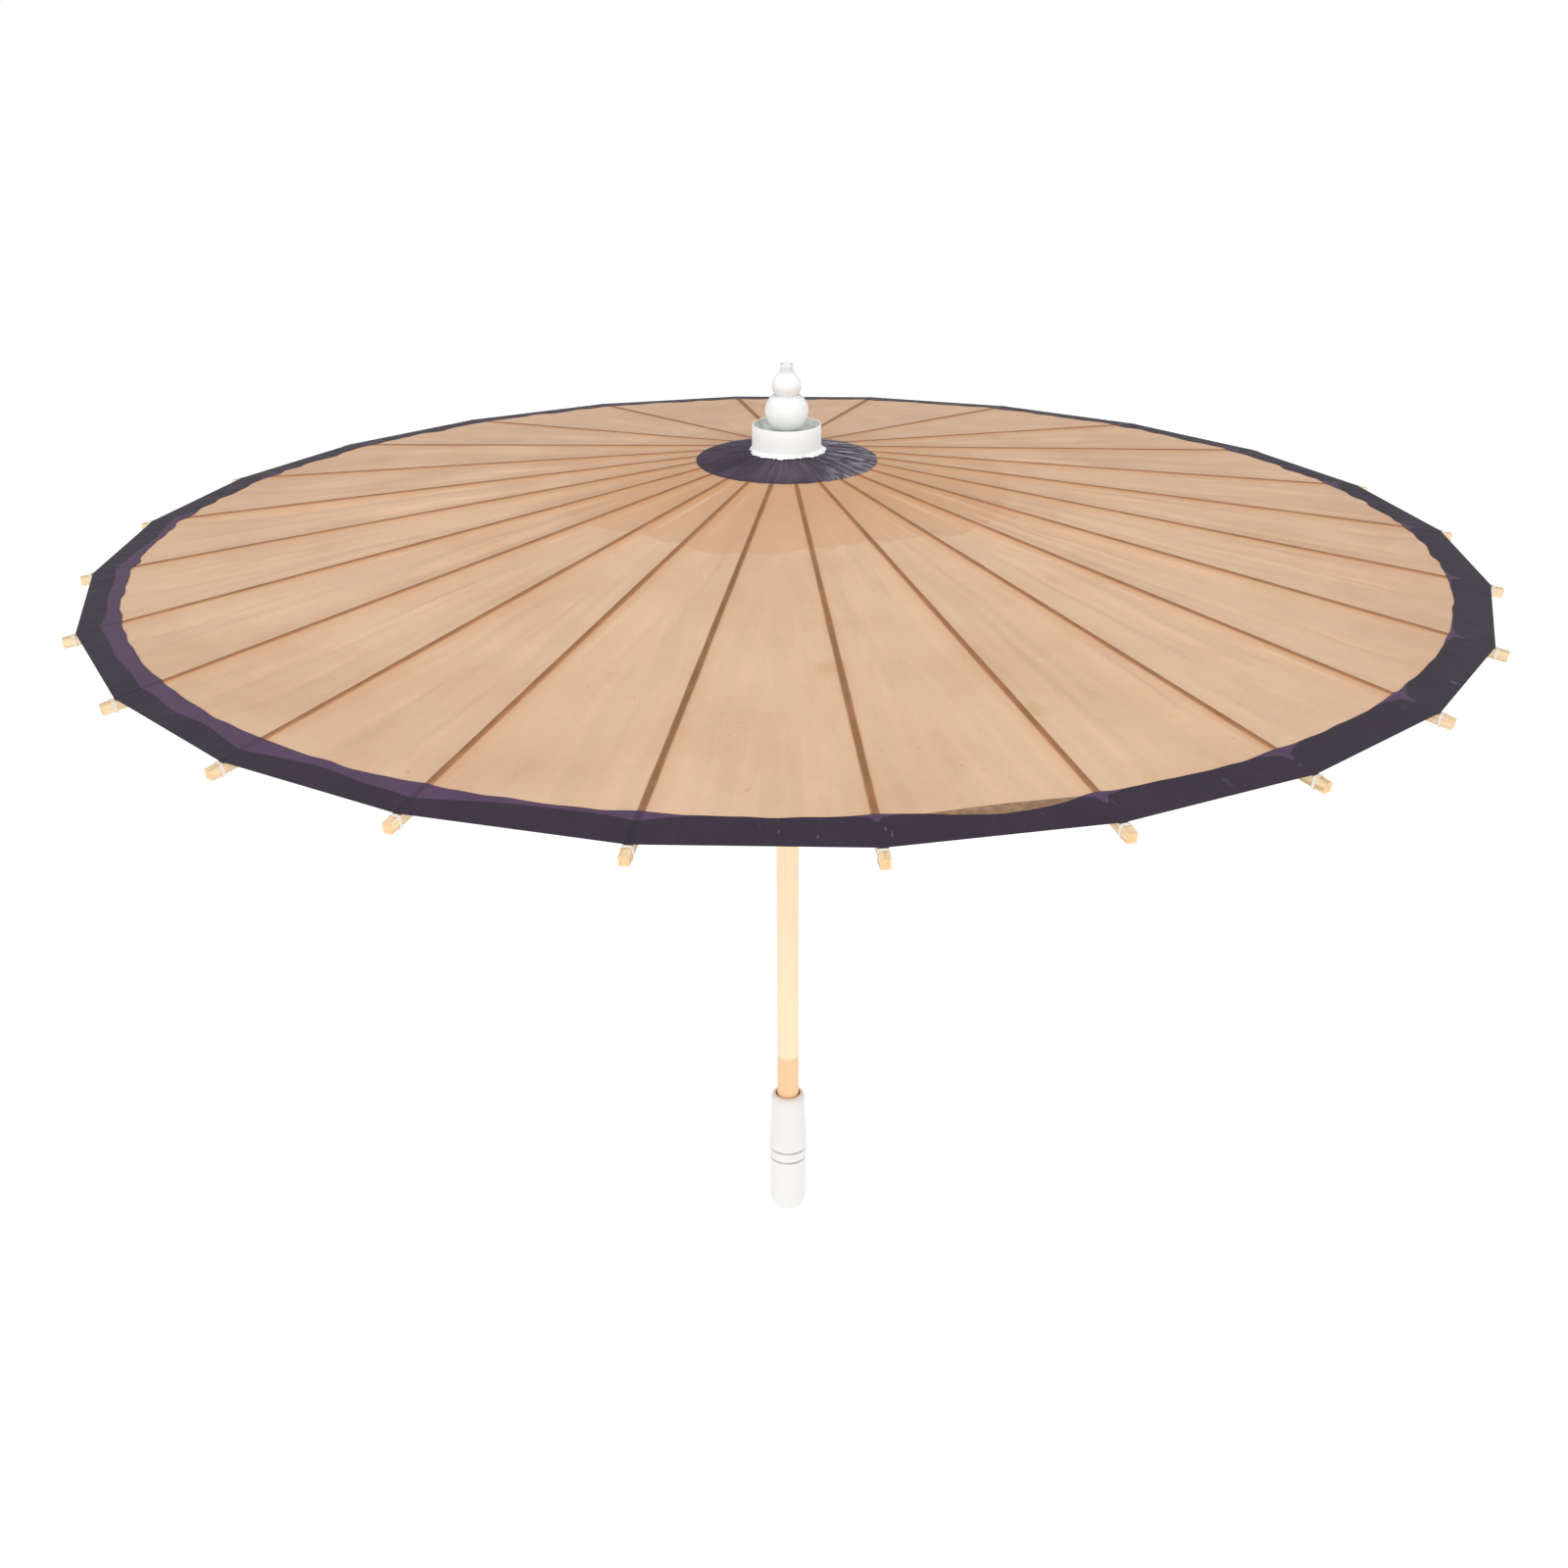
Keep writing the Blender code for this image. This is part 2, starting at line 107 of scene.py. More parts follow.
PAPER_LOW, PAPER_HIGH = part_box("canopy_paper")
RIM_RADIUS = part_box("rim_band")[1].x
CROWN_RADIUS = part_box("crown_disc")[1].x
CUP_LOW, CUP_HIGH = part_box("head_cup")
GRIP_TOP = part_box("grip")[1].z
FINIAL_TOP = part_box("finial")[1].z
SHAFT_LOW, SHAFT_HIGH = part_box("shaft")
CATCH_LOW, CATCH_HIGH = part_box("catch_spring")
RUNNER_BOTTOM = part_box("runner")[0].z
NOTCH_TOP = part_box("notch")[1].z

SKIN_EDGE = 0.0200  # where the oiled paper starts, outside the notch
CAD_SHEET = 0.0003  # thickness of the papers in the frame
TIP_HALF_DEPTH = 0.0030  # from a rib's pivot line to the middle of its cut end
SLOPE = (PAPER_HIGH.z - PAPER_LOW.z - CAD_SHEET) / (PAPER_HIGH.x - SKIN_EDGE)
RIM_HEIGHT = PAPER_HIGH.z - SLOPE * (RIM_RADIUS - SKIN_EDGE)
PIVOT_RADIUS = math.hypot(*JOINTS["fold"]["pos_m"][:2])
PIVOT_HEIGHT = JOINTS["fold"]["pos_m"][2]
PITCH = math.atan(SLOPE)
RIB_LENGTH = (-CAD_BOX[0][1] - PIVOT_RADIUS) / math.cos(PITCH)
RIB_LENGTH -= TIP_HALF_DEPTH * math.tan(PITCH)
CATCH_GAP = 0.0003  # between the catch and the lower end of its slot
GRIP_GROOVES = (GRIP_TOP - 0.0439, GRIP_TOP - 0.0521)
WRINKLES = 8  # long wrinkles in a panel
SHEET_LEAST = 0.010  # a sheet at least this wide has its area worked out, which nothing uses
PAPER_SPOTS = ((-91.2, 0.266, 0.011), (-74.0, 0.3205, 0.010), (-52.0, 0.21, 0.006))
BACKDROP = 24.0  # radius of the dome behind the stage
BRIGHT_SIDE = (-0.17, -0.86, 0.42)  # the way to the brightest part of the sky
CAMERA_PLACE = (-0.11369, -1.16031, 0.85921)
CAMERA_TURN = (24.263, 5.488, -0.156)  # degrees: down, to the right, and tilted
THREAD_TURNS = ((0.4083, 0.04), (0.4088, -0.05), (0.4093, 0.07))  # distance out, and lean


def tint(red, green, blue):
    """A colour given as shown on a screen, from 0 to 255, in the linear numbers of a shader."""
    shown = np.array([red, green, blue]) / 255.0
    linear = np.where(shown > 0.04045, ((shown + 0.055) / 1.055) ** 2.4, shown / 12.92)
    return tuple(float(value) for value in linear)


def size_property(name, description, default):
    return FloatProperty(
        name=name, description=description, default=default, min=0.0, unit="LENGTH", precision=5
    )


def color_property(name, description, default):
    return FloatVectorProperty(
        name=name, description=description, default=default, size=3, min=0.0, max=1.0,
        subtype="COLOR",
    )


# ---- settings ----
class UmbrellaPaperSettings(bpy.types.PropertyGroup):
    """Sizes and colours of the oiled paper and the violet paper glued over it."""

    lath_half: size_property(
        "Glued half width", "Half the width of the paper glued down on a rib", 0.0018
    )
    lift: size_property(
        "Layer lift", "How far the violet paper's face lies above the oiled paper's", 0.00035
    )
    sheet: size_property("Sheet", "Thickness of each paper", 0.0002)
    sag: size_property("Sag", "How far a panel hangs in between two ribs", 0.0011)
    ridge: size_property("Ridge", "How far the paper falls away beside a rib", 0.0010)
    crease: size_property("Crease", "Depth of the pleat line along a panel's middle", 0.00005)
    wrinkle: size_property("Wrinkle", "Height of the long wrinkles", 0.00118)
    band_inner: size_property("Band inner radius", "Radius of the band's inner edge", 0.3950)
    paper: color_property("Paper", "Oiled paper", tint(224, 188, 157))
    paper_deep: color_property("Paper, deep", "Its darker clouds", tint(214, 176, 145))
    # The colour over each rib is painted shade: the rib seen darker through the paper.
    painted_rib_shade: color_property("Rib stripe", "Paper stained over a rib", tint(134, 94, 62))
    # The glow is painted light beside each rib.
    glow: color_property("Glow", "Warm staining beside a rib", tint(203, 150, 103))
    inner: color_property("Doubled paper", "Two layers round the head", tint(200, 155, 117))
    violet: color_property("Violet", "A single layer of violet paper", tint(86, 64, 91))
    violet_deep: color_property("Violet, doubled", "Violet paper over its hem", tint(52, 42, 57))


class UmbrellaTurnedSettings(bpy.types.PropertyGroup):
    """Sizes and colours of the white turned pieces and the shaft."""

    segments: IntProperty(
        name="Segments", description="Steps round a turned piece", default=96, min=24, max=256
    )
    fringe_reach: size_property("Fringe", "How far the torn paper reaches past the cup", 0.0019)
    white: color_property("White", "White lacquer of the finial", tint(246, 250, 250))
    grip: color_property("Grip", "White lacquer of the grip", tint(229, 228, 226))
    wood: color_property("Shaft", "Upper part of the shaft", tint(253, 225, 192))
    wood_low: color_property("Shaft, low", "The shaft just above the grip", tint(245, 200, 154))


class UmbrellaBambooSettings(bpy.types.PropertyGroup):
    """Sizes and colours of the ribs, stretchers, hubs and thread."""

    thread: size_property("Thread", "Thickness of the thread round a rib's tip", 0.0005)
    skin: color_property("Bamboo", "Side of a split rib", tint(238, 214, 174))
    fibre: color_property("Fibre", "Its darker fibres", tint(190, 150, 106))
    end_grain: color_property("End grain", "Cut end of a rib", tint(244, 198, 152))
    hub: color_property("Hub", "Turned hub wood", tint(206, 166, 116))


class UmbrellaStageSettings(bpy.types.PropertyGroup):
    """The camera, the floor and the light."""

    lens: FloatProperty(name="Lens", description="Focal length", default=44.869, unit="CAMERA")
    floor_drop: size_property("Floor", "How far the floor is below the grip's end", 0.60)
    floor: color_property("Floor", "Pale floor", (0.92, 0.92, 0.92))
    sky: FloatProperty(name="Sky", description="Strength of the even light", default=0.75)
    slant: FloatProperty(
        name="Slant", description="How much stronger the light is from the front", default=0.59
    )


# ---- meshes from whole arrays ----
def grid_faces(rows, columns, wrap=False):
    """Quads of a grid of points, row by row; wrap joins the last column to the first."""
    row = np.arange(rows - 1)[:, None] * columns
    column = np.arange(columns if wrap else columns - 1)[None, :]
    after = (column + 1) % columns
    quads = [row + column, row + after, row + columns + after, row + columns + column]
    return np.stack(quads, -1).reshape(-1, 4)


def make_piece(name, points, faces, sharp=None):
    """An object from an (n, 3) array of points; sharp is the angle past which an edge shows."""
    mesh = bpy.data.meshes.new(name)
    mesh.from_pydata(np.asarray(points, float).reshape(-1, 3).tolist(), [], list(map(list, faces)))
    if sharp is not None:
        work = bmesh.new()
        work.from_mesh(mesh)
        bmesh.ops.remove_doubles(work, verts=work.verts, dist=1e-7)
        work.to_mesh(mesh)
        work.free()
    mesh.shade_smooth()
    if sharp is not None:
        mesh.set_sharp_from_angle(angle=math.radians(sharp))
    borders = np.empty(len(mesh.loops), np.int32)
    mesh.loops.foreach_get("edge_index", borders)
    single = np.bincount(borders, minlength=len(mesh.edges)) == 1
    if single.any():
        edges = mesh.attributes.new("sharp_edge", "BOOLEAN", "EDGE")
        edges.data.foreach_set("value", single)
    piece = bpy.data.objects.new(name, mesh)
    bpy.context.scene.collection.objects.link(piece)
    return piece


def mark(piece, **fields):
    """Numbers or places kept on the points for the materials to read, each field an array."""
    count = len(piece.data.vertices)
    for name, values in fields.items():
        values = np.asarray(values, np.float32).ravel()
        kind, key = ("FLOAT_VECTOR", "vector") if values.size == 3 * count else ("FLOAT", "value")
        values = np.full(count, values[0]) if values.size == 1 else values
        attribute = piece.data.attributes.new(name, kind, "POINT")
        attribute.data.foreach_set(key, values)


def turned(name, profile, segments, wave=0.0):
    """A profile of (radius, height), listed up its outer side, swept round Z.

    Its ends meet at the axis or at each other. wave is added to the radii, row by row.
    """
    radius, height = np.asarray(profile, float).T
    turn = np.arange(segments) * math.tau / segments
    radii = np.maximum(radius[:, None] + np.where(radius[:, None] > 0, wave, 0.0), 0.0)
    radii = np.broadcast_to(radii, (len(radius), segments))
    heights = np.broadcast_to(height[:, None], radii.shape)
    points = np.stack([radii * np.cos(turn), radii * np.sin(turn), heights], -1)
    return make_piece(name, points, grid_faces(len(radius), segments, wrap=True), sharp=38)


def flowing(knots, steps):
    """A smooth chain through knots, steps points to a span: Catmull and Rom's cubic."""
    knots = np.asarray(knots, float)
    padded = np.concatenate([2 * knots[:1] - knots[1:2], knots, 2 * knots[-1:] - knots[-2:-1]])
    a, b, c, d = padded[:-3], padded[1:-2], padded[2:-1], padded[3:]
    t = (np.arange(steps) / steps)[None, :, None]
    a, b, c, d = (part[:, None] for part in (a, b, c, d))
    curve = 0.5 * (
        2 * b + (c - a) * t + (2 * a - 5 * b + 4 * c - d) * t**2 + (3 * b - a - 3 * c + d) * t**3
    )
    return np.concatenate([curve.reshape(-1, knots.shape[1]), knots[-1:]])


def tube(path, thickness, sides):
    """Points and faces of a round section carried along a closed path lying in a plane."""
    path = np.asarray(path, float)
    ahead = np.roll(path, -1, 0) - np.roll(path, 1, 0)
    ahead /= np.linalg.norm(ahead, axis=1)[:, None]
    flat = np.linalg.svd(path - path.mean(0))[2][-1]
    side = np.cross(ahead, flat)
    turn = np.arange(sides) * math.tau / sides
    ring = np.cos(turn)[None, :, None] * side[:, None] + np.sin(turn)[None, :, None] * flat
    points = (path[:, None] + thickness / 2 * ring).reshape(-1, 3)
    faces = grid_faces(len(path) + 1, sides, wrap=True) % len(points)
    middle = points[faces[0]].mean(0) - path[0]
    edge = points[faces[0]]
    facing = np.cross(edge[1] - edge[0], edge[2] - edge[1]) @ middle
    return points, faces if facing > 0 else faces[:, ::-1]


def wobble(position, seed, waves=6, step=0.9):
    """Smooth noise from -1 to 1 along a number: sines of unlike lengths, summed."""
    random = np.random.default_rng(seed)
    rates = 1.0 + np.arange(waves) * step + random.random(waves) * 0.4
    phases = random.random(waves) * math.tau
    weights = 1.0 / (1.0 + np.arange(waves) * 0.4)
    angles = np.asarray(position, float)[..., None] * rates + phases
    return (np.sin(angles) * weights).sum(-1) / weights.sum()


def ring_wobble(angle, seed, rates):
    """Smooth noise round a circle: sines that fit a whole number of times into a turn."""
    random = np.random.default_rng(seed)
    phases = random.random(len(rates)) * math.tau
    weights = np.linspace(1.0, 0.45, len(rates))
    waves = np.sin(np.asarray(angle, float)[..., None] * np.asarray(rates) + phases)
    return (waves * weights).sum(-1) / weights.sum()


def ease(value, low, high):
    """0 below low, 1 above high, and a smooth step between."""
    share = np.clip((value - low) / (high - low), 0.0, 1.0)
    return share * share * (3 - 2 * share)


def rib_axes(index):
    """Unit vectors of a rib, counted from 0: out in plan, and across it counter-clockwise."""
    angle = FIRST_RIB + index * SECTOR
    out = np.array([math.cos(angle), math.sin(angle), 0.0])
    return out, np.array([-out[1], out[0], 0.0])


# ---- the skin of the canopy ----
def canopy_height(radius):
    """Height of the oiled paper's upper face above a rib."""
    return RIM_HEIGHT + SLOPE * (RIM_RADIUS - radius)


def skin_height(ring, share, gore, settings):
    """Height of the oiled paper's upper face between two ribs.

    ring is where the point's chord crosses the ribs, and share runs from rib to rib. The face
    is a flat panel from ridge to ridge, less the fall beside each rib, the sag and the pleat
    line, plus long wrinkles that run out along the panel and gathers close to the head.
    """
    width = 2 * ring * math.sin(HALF_SECTOR)
    beside = np.minimum(share, 1 - share) * width
    middle = np.abs(share - 0.5) * width
    rim_calm = 1 - ease(ring, RIM_RADIUS - 0.055, RIM_RADIUS - 0.014)
    fall = 1 - np.exp(-np.maximum(beside - settings.lath_half, 0.0) / 0.006)
    free = np.clip(fall, 0.0, 1.0) * ease(ring, 0.045, 0.120)
    sag = settings.sag * np.sin(math.pi * share) * np.sin(
        math.pi * np.clip(ring / RIM_RADIUS, 0.0, 1.0)
    )
    worn = 0.6 + 0.4 * wobble(ring * 34, 500 + gore)
    crease = settings.crease * worn * np.exp(-((middle / 0.0040) ** 2)) * ease(ring, 0.08, 0.2)
    random = np.random.default_rng(70 + gore)
    wrinkles = np.zeros_like(ring)
    for _ in range(WRINKLES):
        place, drift, reach, start = random.random(4)
        line = 0.12 + 0.76 * place + (drift - 0.5) * 0.35 * (ring / RIM_RADIUS - 0.7)
        line = line + 0.02 * wobble(ring * 30, 900 + gore)
        spread = 0.0016 + 0.0040 * reach
        near = np.exp(-(((share - line) * width) / spread) ** 2)
        first = 0.06 + 0.24 * start
        length = 0.08 + 0.18 * reach
        along = np.clip((ring - first) / length, 0.0, 1.0)
        wrinkles += near * np.sin(math.pi * along) ** 2 * (1 if drift > 0.45 else -1)
    ripple = wobble(ring * 26 + gore, 300 + gore) * np.sin(math.pi * share) * 0.6
    pulled = 0.00038 + 0.00050 * max(math.cos(FIRST_RIB + (gore + 0.5) * SECTOR + 0.2), 0.0)
    gathers = pulled * wobble(share * 8 + gore * 2.1, 600 + gore, 5, 1.6)
    gathers = gathers * (1 - ease(ring, 0.044, 0.064)) * np.sin(math.pi * share) ** 0.5
    gathers = gathers * ease(ring, 0.021, 0.026)
    height = canopy_height(ring)
    loose = settings.wrinkle * (wrinkles + ripple) - sag - crease
    return height + gathers + rim_calm * free * (loose - settings.ridge)


def hem_width(angle):
    """How far the violet paper is folded under the rim, by direction.

    It is narrow and uneven on the left, and elsewhere as wide as the band but for a dip at
    each rib.
    """
    turns = np.radians([-180, -165, -150, -135, -120, -112, -105, -97, -60, 0, 60, 150, 164,
                        166, 180])
    widths = np.array([150, 132, 134, 138, 150, 178, 206, 232, 234, 232, 234, 236, 232, 168,
                       150]) * 1e-4
    angle = (np.asarray(angle) + math.pi) % math.tau - math.pi
    base = np.interp(angle, turns, widths)
    from_rib = (angle - FIRST_RIB) / SECTOR
    from_rib = (from_rib - np.round(from_rib)) * SECTOR * RIM_RADIUS
    dip = 0.0042 * np.exp(-(np.abs(from_rib) / 0.012) ** 1.6) * (0.8 + 0.5 * np.sin(5 * angle))
    left = np.clip((0.0215 - base) / 0.006, 0.0, 1.0)
    uneven = (0.0005 + 0.0018 * left) * ring_wobble(angle, 11, (19, 29, 37, 53))
    return base - dip * (1 - 0.7 * left) + uneven


def panel_points(index, side, ring, across_share, lift, settings):
    """Points of a half panel: along the rib's line, and towards the next rib by a share."""
    out, _ = rib_axes(index)
    ahead, _ = rib_axes(index + side)
    gore = (index if side > 0 else index - 1) % RIBS
    share = across_share if side > 0 else 1 - across_share
    plan = ring[..., None] * (
        (1 - across_share[..., None]) * out[:2] + across_share[..., None] * ahead[:2]
    )
    height = skin_height(ring, share, gore, settings) + lift
    return np.concatenate([plan, height[..., None]], -1), gore


def glued_share(ring, settings):
    """The share of a panel, from the rib's line, at which the paper glued to the rib ends."""
    half = np.minimum(settings.lath_half, 0.62 * ring * math.sin(HALF_SECTOR))
    return half / (ring * math.sin(SECTOR))


def skin_fields(points, across, index, gore, side):
    """What the paper's materials read, from a point's plan and its side of the rib.

    near is 1 on the front side of a rib that runs out to the left or right, -1 on its far side
    and 0 where the rib runs straight to the front or back.
    """
    angle = np.arctan2(points[..., 1], points[..., 0])
    rim = RIM_RADIUS * math.cos(HALF_SECTOR)
    middle = FIRST_RIB + (gore + 0.5) * SECTOR
    outwards = points[..., 0] * math.cos(middle) + points[..., 1] * math.sin(middle)
    hem = rim - outwards - hem_width(angle)
    radius = np.hypot(points[..., 0], points[..., 1])
    front = max(math.cos(index * SECTOR + math.radians(12)), 0.0) ** 50
    turned_by = (angle - FIRST_RIB) / SECTOR
    bared = radius - 0.3962 + 0.0036 * short_of_band(turned_by) if gore == 0 else radius - 1.0
    near = -math.cos(FIRST_RIB + index * SECTOR) * side
    return dict(
        across=across, radius=radius, hem=hem, front=front, number=float(index), bared=bared,
        near=np.broadcast_to(near, radius.shape), rest=points,
    )


def half_panel(name, index, side, inner, outer, rows, columns, lift, settings):
    """A sheet from the edge of the glued strip to the panel's middle, between two edges.

    inner and outer give each edge's ring by a point's share across the panel. The sheet is a
    grid: even steps across, and even steps from edge to edge.
    """
    step = np.linspace(0.0, 1.0, columns)[None, :]
    climb = np.linspace(0.0, 1.0, rows)[:, None]
    share = np.broadcast_to(step * 0.5, (rows, columns))
    for _ in range(3):
        ring = inner(share, index, side) * (1 - climb) + outer(share, index, side) * climb
        start = glued_share(ring, settings)
        share = start + (0.5 - start) * step
    points, gore = panel_points(index, side, ring, share, lift, settings)
    faces = grid_faces(rows, columns)
    piece = make_piece(name, points, faces[:, ::-1] if side > 0 else faces)
    across = share * ring * math.sin(SECTOR)
    mark(piece, **skin_fields(points, across, index, gore, side))
    return piece, points


def glued_strip(name, index, inner, outer, rows, lift, settings):
    """The sheet glued down on a rib, between the two half panels: a narrow grid of three."""
    climb = np.linspace(0.0, 1.0, rows)[:, None]
    sides = np.array([-1.0, 0.0, 1.0])[None, :]
    none = np.zeros((rows, 3))
    ring = inner(none, index, 1) * (1 - climb) + outer(none, index, 1) * climb
    share = glued_share(ring, settings) * np.abs(sides)
    points = np.empty((rows, 3, 3))
    for column, side in enumerate((-1, 1, 1)):
        points[:, column], _ = panel_points(
            index, side, ring[:, column], share[:, column], lift, settings
        )
    faces = grid_faces(rows, 3)[:, ::-1]
    piece = make_piece(name, points, faces)
    across = share * ring * math.sin(SECTOR)
    mark(piece, **skin_fields(points, across, index, index, sides))
    return piece


def area_of(points):
    """Area of a grid of points: half the cross product of each cell's diagonals."""
    first = points[1:, 1:] - points[:-1, :-1]
    second = points[1:, :-1] - points[:-1, 1:]
    return float(np.linalg.norm(np.cross(first, second), axis=-1).sum() / 2)


def constant_edge(ring):
    return lambda share, index, side: np.full(np.shape(share), ring)


def round_edge(radius, ripple):
    """An edge that is a circle in plan: the ring of each point's chord, with a small ripple."""

    def edge(share, index, side):
        chord = np.sqrt(1 - 2 * share * (1 - share) * (1 - math.cos(SECTOR)))
        angle = FIRST_RIB + (index + side * share) * SECTOR
        return radius / chord + ripple(angle)

    return edge


def short_of_band(turned_by):
    """0 to 1 to 0 over the panel where the paper's own edge shows: a long low arch."""
    return np.sin(math.pi * np.clip((turned_by - 0.10) / 0.92, 0.0, 1.0)) ** 1.3


def band_ripple(angle):
    """Hand-cut unevenness of the band's inner edge: about a millimetre, stepping at each rib.

    It is most ragged at the back, and in one panel it stands back from the paper's edge.
    """
    turned_by = ((angle - FIRST_RIB) / SECTOR) % RIBS
    scallops = np.abs(np.sin(math.pi * turned_by + 0.4)) - 0.6
    ragged = 0.0007 + 0.0040 * np.clip(np.sin(angle) + 0.35, 0.0, 1.0)
    return (
        0.0009 * ring_wobble(angle, 3, (5, 11, 24, 41, 63))
        + ragged * ring_wobble(angle, 4, (48, 75, 96, 130))
        - 0.0009 * scallops
        + 0.0060 * short_of_band(turned_by)
    )


def crown_ripple(angle):
    return 0.0003 * ring_wobble(angle, 8, (3, 7, 12, 24))


def finish_sheet(piece, settings, materials):
    """Gives a sheet its thickness, downwards, and its materials: upper face, then lower."""
    solid = piece.modifiers.new("thickness", "SOLIDIFY")
    solid.thickness = settings.sheet
    solid.offset = -1.0
    solid.material_offset = len(materials) - 1
    piece.data.materials.clear()
    for material in materials:
        piece.data.materials.append(material)


def pleat(piece, index, side, settings):
    """Gives a half panel a mesh of its own. The steep plane through the glued strip's edge, almost
    square to the canopy, is worked out for a pleat behind the rib, but nothing folds the sheet
    towards it.
    """
    out, across = rib_axes(index)
    normal = SLOPE * out + np.array([0.0, 0.0, 1.0])
    normal /= np.linalg.norm(normal)
    anchor = RIM_RADIUS * out + settings.lath_half * side * across
    anchor[2] = RIM_HEIGHT
    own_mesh(piece)


def add_layer(stem, inner, outer, rows, columns, lift, materials, node, settings):
    """One layer of paper all round: a glued strip and two half panels for every rib."""
    for index in range(RIBS):
        number = f"{index + 1:02d}"
        body = f"rib_{number}"
        strip = glued_strip(f"{stem}_strip_{number}", index, inner, outer, rows, lift, settings)
        pieces = [strip]
        for side, word in ((1, "a"), (-1, "b")):
            name = f"{stem}_{number}_{word}"
            piece, points = half_panel(
                name, index, side, inner, outer, rows, columns, lift, settings
            )
            pieces.append(piece)
            length = float(np.linalg.norm(points[-1, 0] - points[0, 0]))
            width = float(np.linalg.norm(points[-1, -1] - points[-1, 0]))
            if width >= SHEET_LEAST:
                area = area_of(points)
                area = min(max(area, 0.3 * width * length), width * length)
            pleat(piece, index, side, settings)
        for piece in pieces:
            finish_sheet(piece, settings, materials)
            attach(piece, body)
            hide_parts(node)


# ---- materials ----
class Finish:
    """A material being put together: each call adds a node and gives back its output."""

    def __init__(self, name, roughness, **constants):
        self.material = bpy.data.materials.new(name)
        self.material.use_nodes = True
        self.tree = self.material.node_tree
        self.shader = self.tree.nodes["Principled BSDF"]
        self.shader.inputs["Roughness"].default_value = roughness
        for socket, value in constants.items():
            self.shader.inputs[socket.replace("_", " ")].default_value = value

    def node(self, kind, inputs=(), **settings):
        made = self.tree.nodes.new(kind)
        for key, value in settings.items():
            setattr(made, key, value)
        for socket, value in dict(inputs).items():
            self.feed(made.inputs[socket], value)
        return made

    def feed(self, socket, value):
        if isinstance(value, bpy.types.NodeSocket):
            self.tree.links.new(value, socket)
        elif socket.type == "RGBA":
            socket.default_value = (*value, 1.0)
        else:
            socket.default_value = value

    def field(self, name):
        return self.node("ShaderNodeAttribute", attribute_name=name).outputs["Fac"]

    def place(self):
        return self.node("ShaderNodeTexCoord").outputs["Object"]

    def rest(self):
        """The open canopy's own place for a point, kept on its points."""
        return self.node("ShaderNodeAttribute", attribute_name="rest").outputs["Vector"]

    def blot(self, place, centre, reach, ragged):
        """1 at a point and fading out by reach, its edge made ragged by noise."""
        inputs = {0: place, 1: centre}
        away = self.node("ShaderNodeVectorMath", inputs, operation="DISTANCE").outputs["Value"]
        away = self.plus(away, self.times(self.noise(place, 130.0, 3.0), ragged))
        return self.ramp(away, reach * 0.35 + ragged / 2, reach + ragged / 2, 1.0, 0.0)

    def split(self, vector):
        return self.node("ShaderNodeSeparateXYZ", {0: vector}).outputs

    def join(self, x, y, z):
        return self.node("ShaderNodeCombineXYZ", {0: x, 1: y, 2: z}).outputs[0]

    def math(self, operation, first, second=0.0, third=0.0):
        inputs = {0: first, 1: second, 2: third}
        return self.node("ShaderNodeMath", inputs, operation=operation).outputs[0]

    def times(self, first, second):
        return self.math("MULTIPLY", first, second)

    def plus(self, first, second):
        return self.math("ADD", first, second)

    def minus(self, first, second):
        return self.math("SUBTRACT", first, second)

    def lane(self, *parts):
        """A place stretched by axis: three pairs of a value and its scale."""
        return self.join(*(self.times(value, scale) for value, scale in parts))

    def ramp(self, value, low, high, start=0.0, end=1.0):
        """start at or below low, end at or above high, and a smooth step between."""
        inputs = {
            "Value": value, "From Min": low, "From Max": high, "To Min": start, "To Max": end
        }
        return self.node(
            "ShaderNodeMapRange", inputs, interpolation_type="SMOOTHSTEP"
        ).outputs["Result"]

    def noise(self, vector, scale, detail=2.0, roughness=0.5):
        inputs = {"Vector": vector, "Scale": scale, "Detail": detail, "Roughness": roughness}
        return self.node("ShaderNodeTexNoise", inputs).outputs["Fac"]

    def mix(self, share, first, second):
        made = self.node("ShaderNodeMix", data_type="RGBA")
        self.feed(made.inputs[0], share)
        self.feed(made.inputs[6], first)
        self.feed(made.inputs[7], second)
        return made.outputs[2]

    def shade(self, color, amount):
        """A colour made lighter or darker by a number that varies over the surface."""
        grey = self.join(amount, amount, amount)
        made = self.node("ShaderNodeMix", data_type="RGBA", blend_type="MULTIPLY")
        self.feed(made.inputs[0], 1.0)
        self.feed(made.inputs[6], color)
        self.feed(made.inputs[7], grey)
        return made.outputs[2]

    def tone(self, color, value, low, high, dark, light):
        """A colour shaded from dark to light as a value goes from low to high."""
        return self.shade(color, self.ramp(value, low, high, dark, light))

    def done(self, color=None, height=None, depth=0.0002, roughness=None):
        """The finished material, with its colour, its relief and its gloss linked."""
        if color is not None:
            self.feed(self.shader.inputs["Base Color"], color)
        if height is not None:
            bump = self.node("ShaderNodeBump", {"Height": height, "Distance": depth})
            self.feed(self.shader.inputs["Normal"], bump.outputs[0])
        if roughness is not None:
            self.feed(self.shader.inputs["Roughness"], roughness)
        return self.material


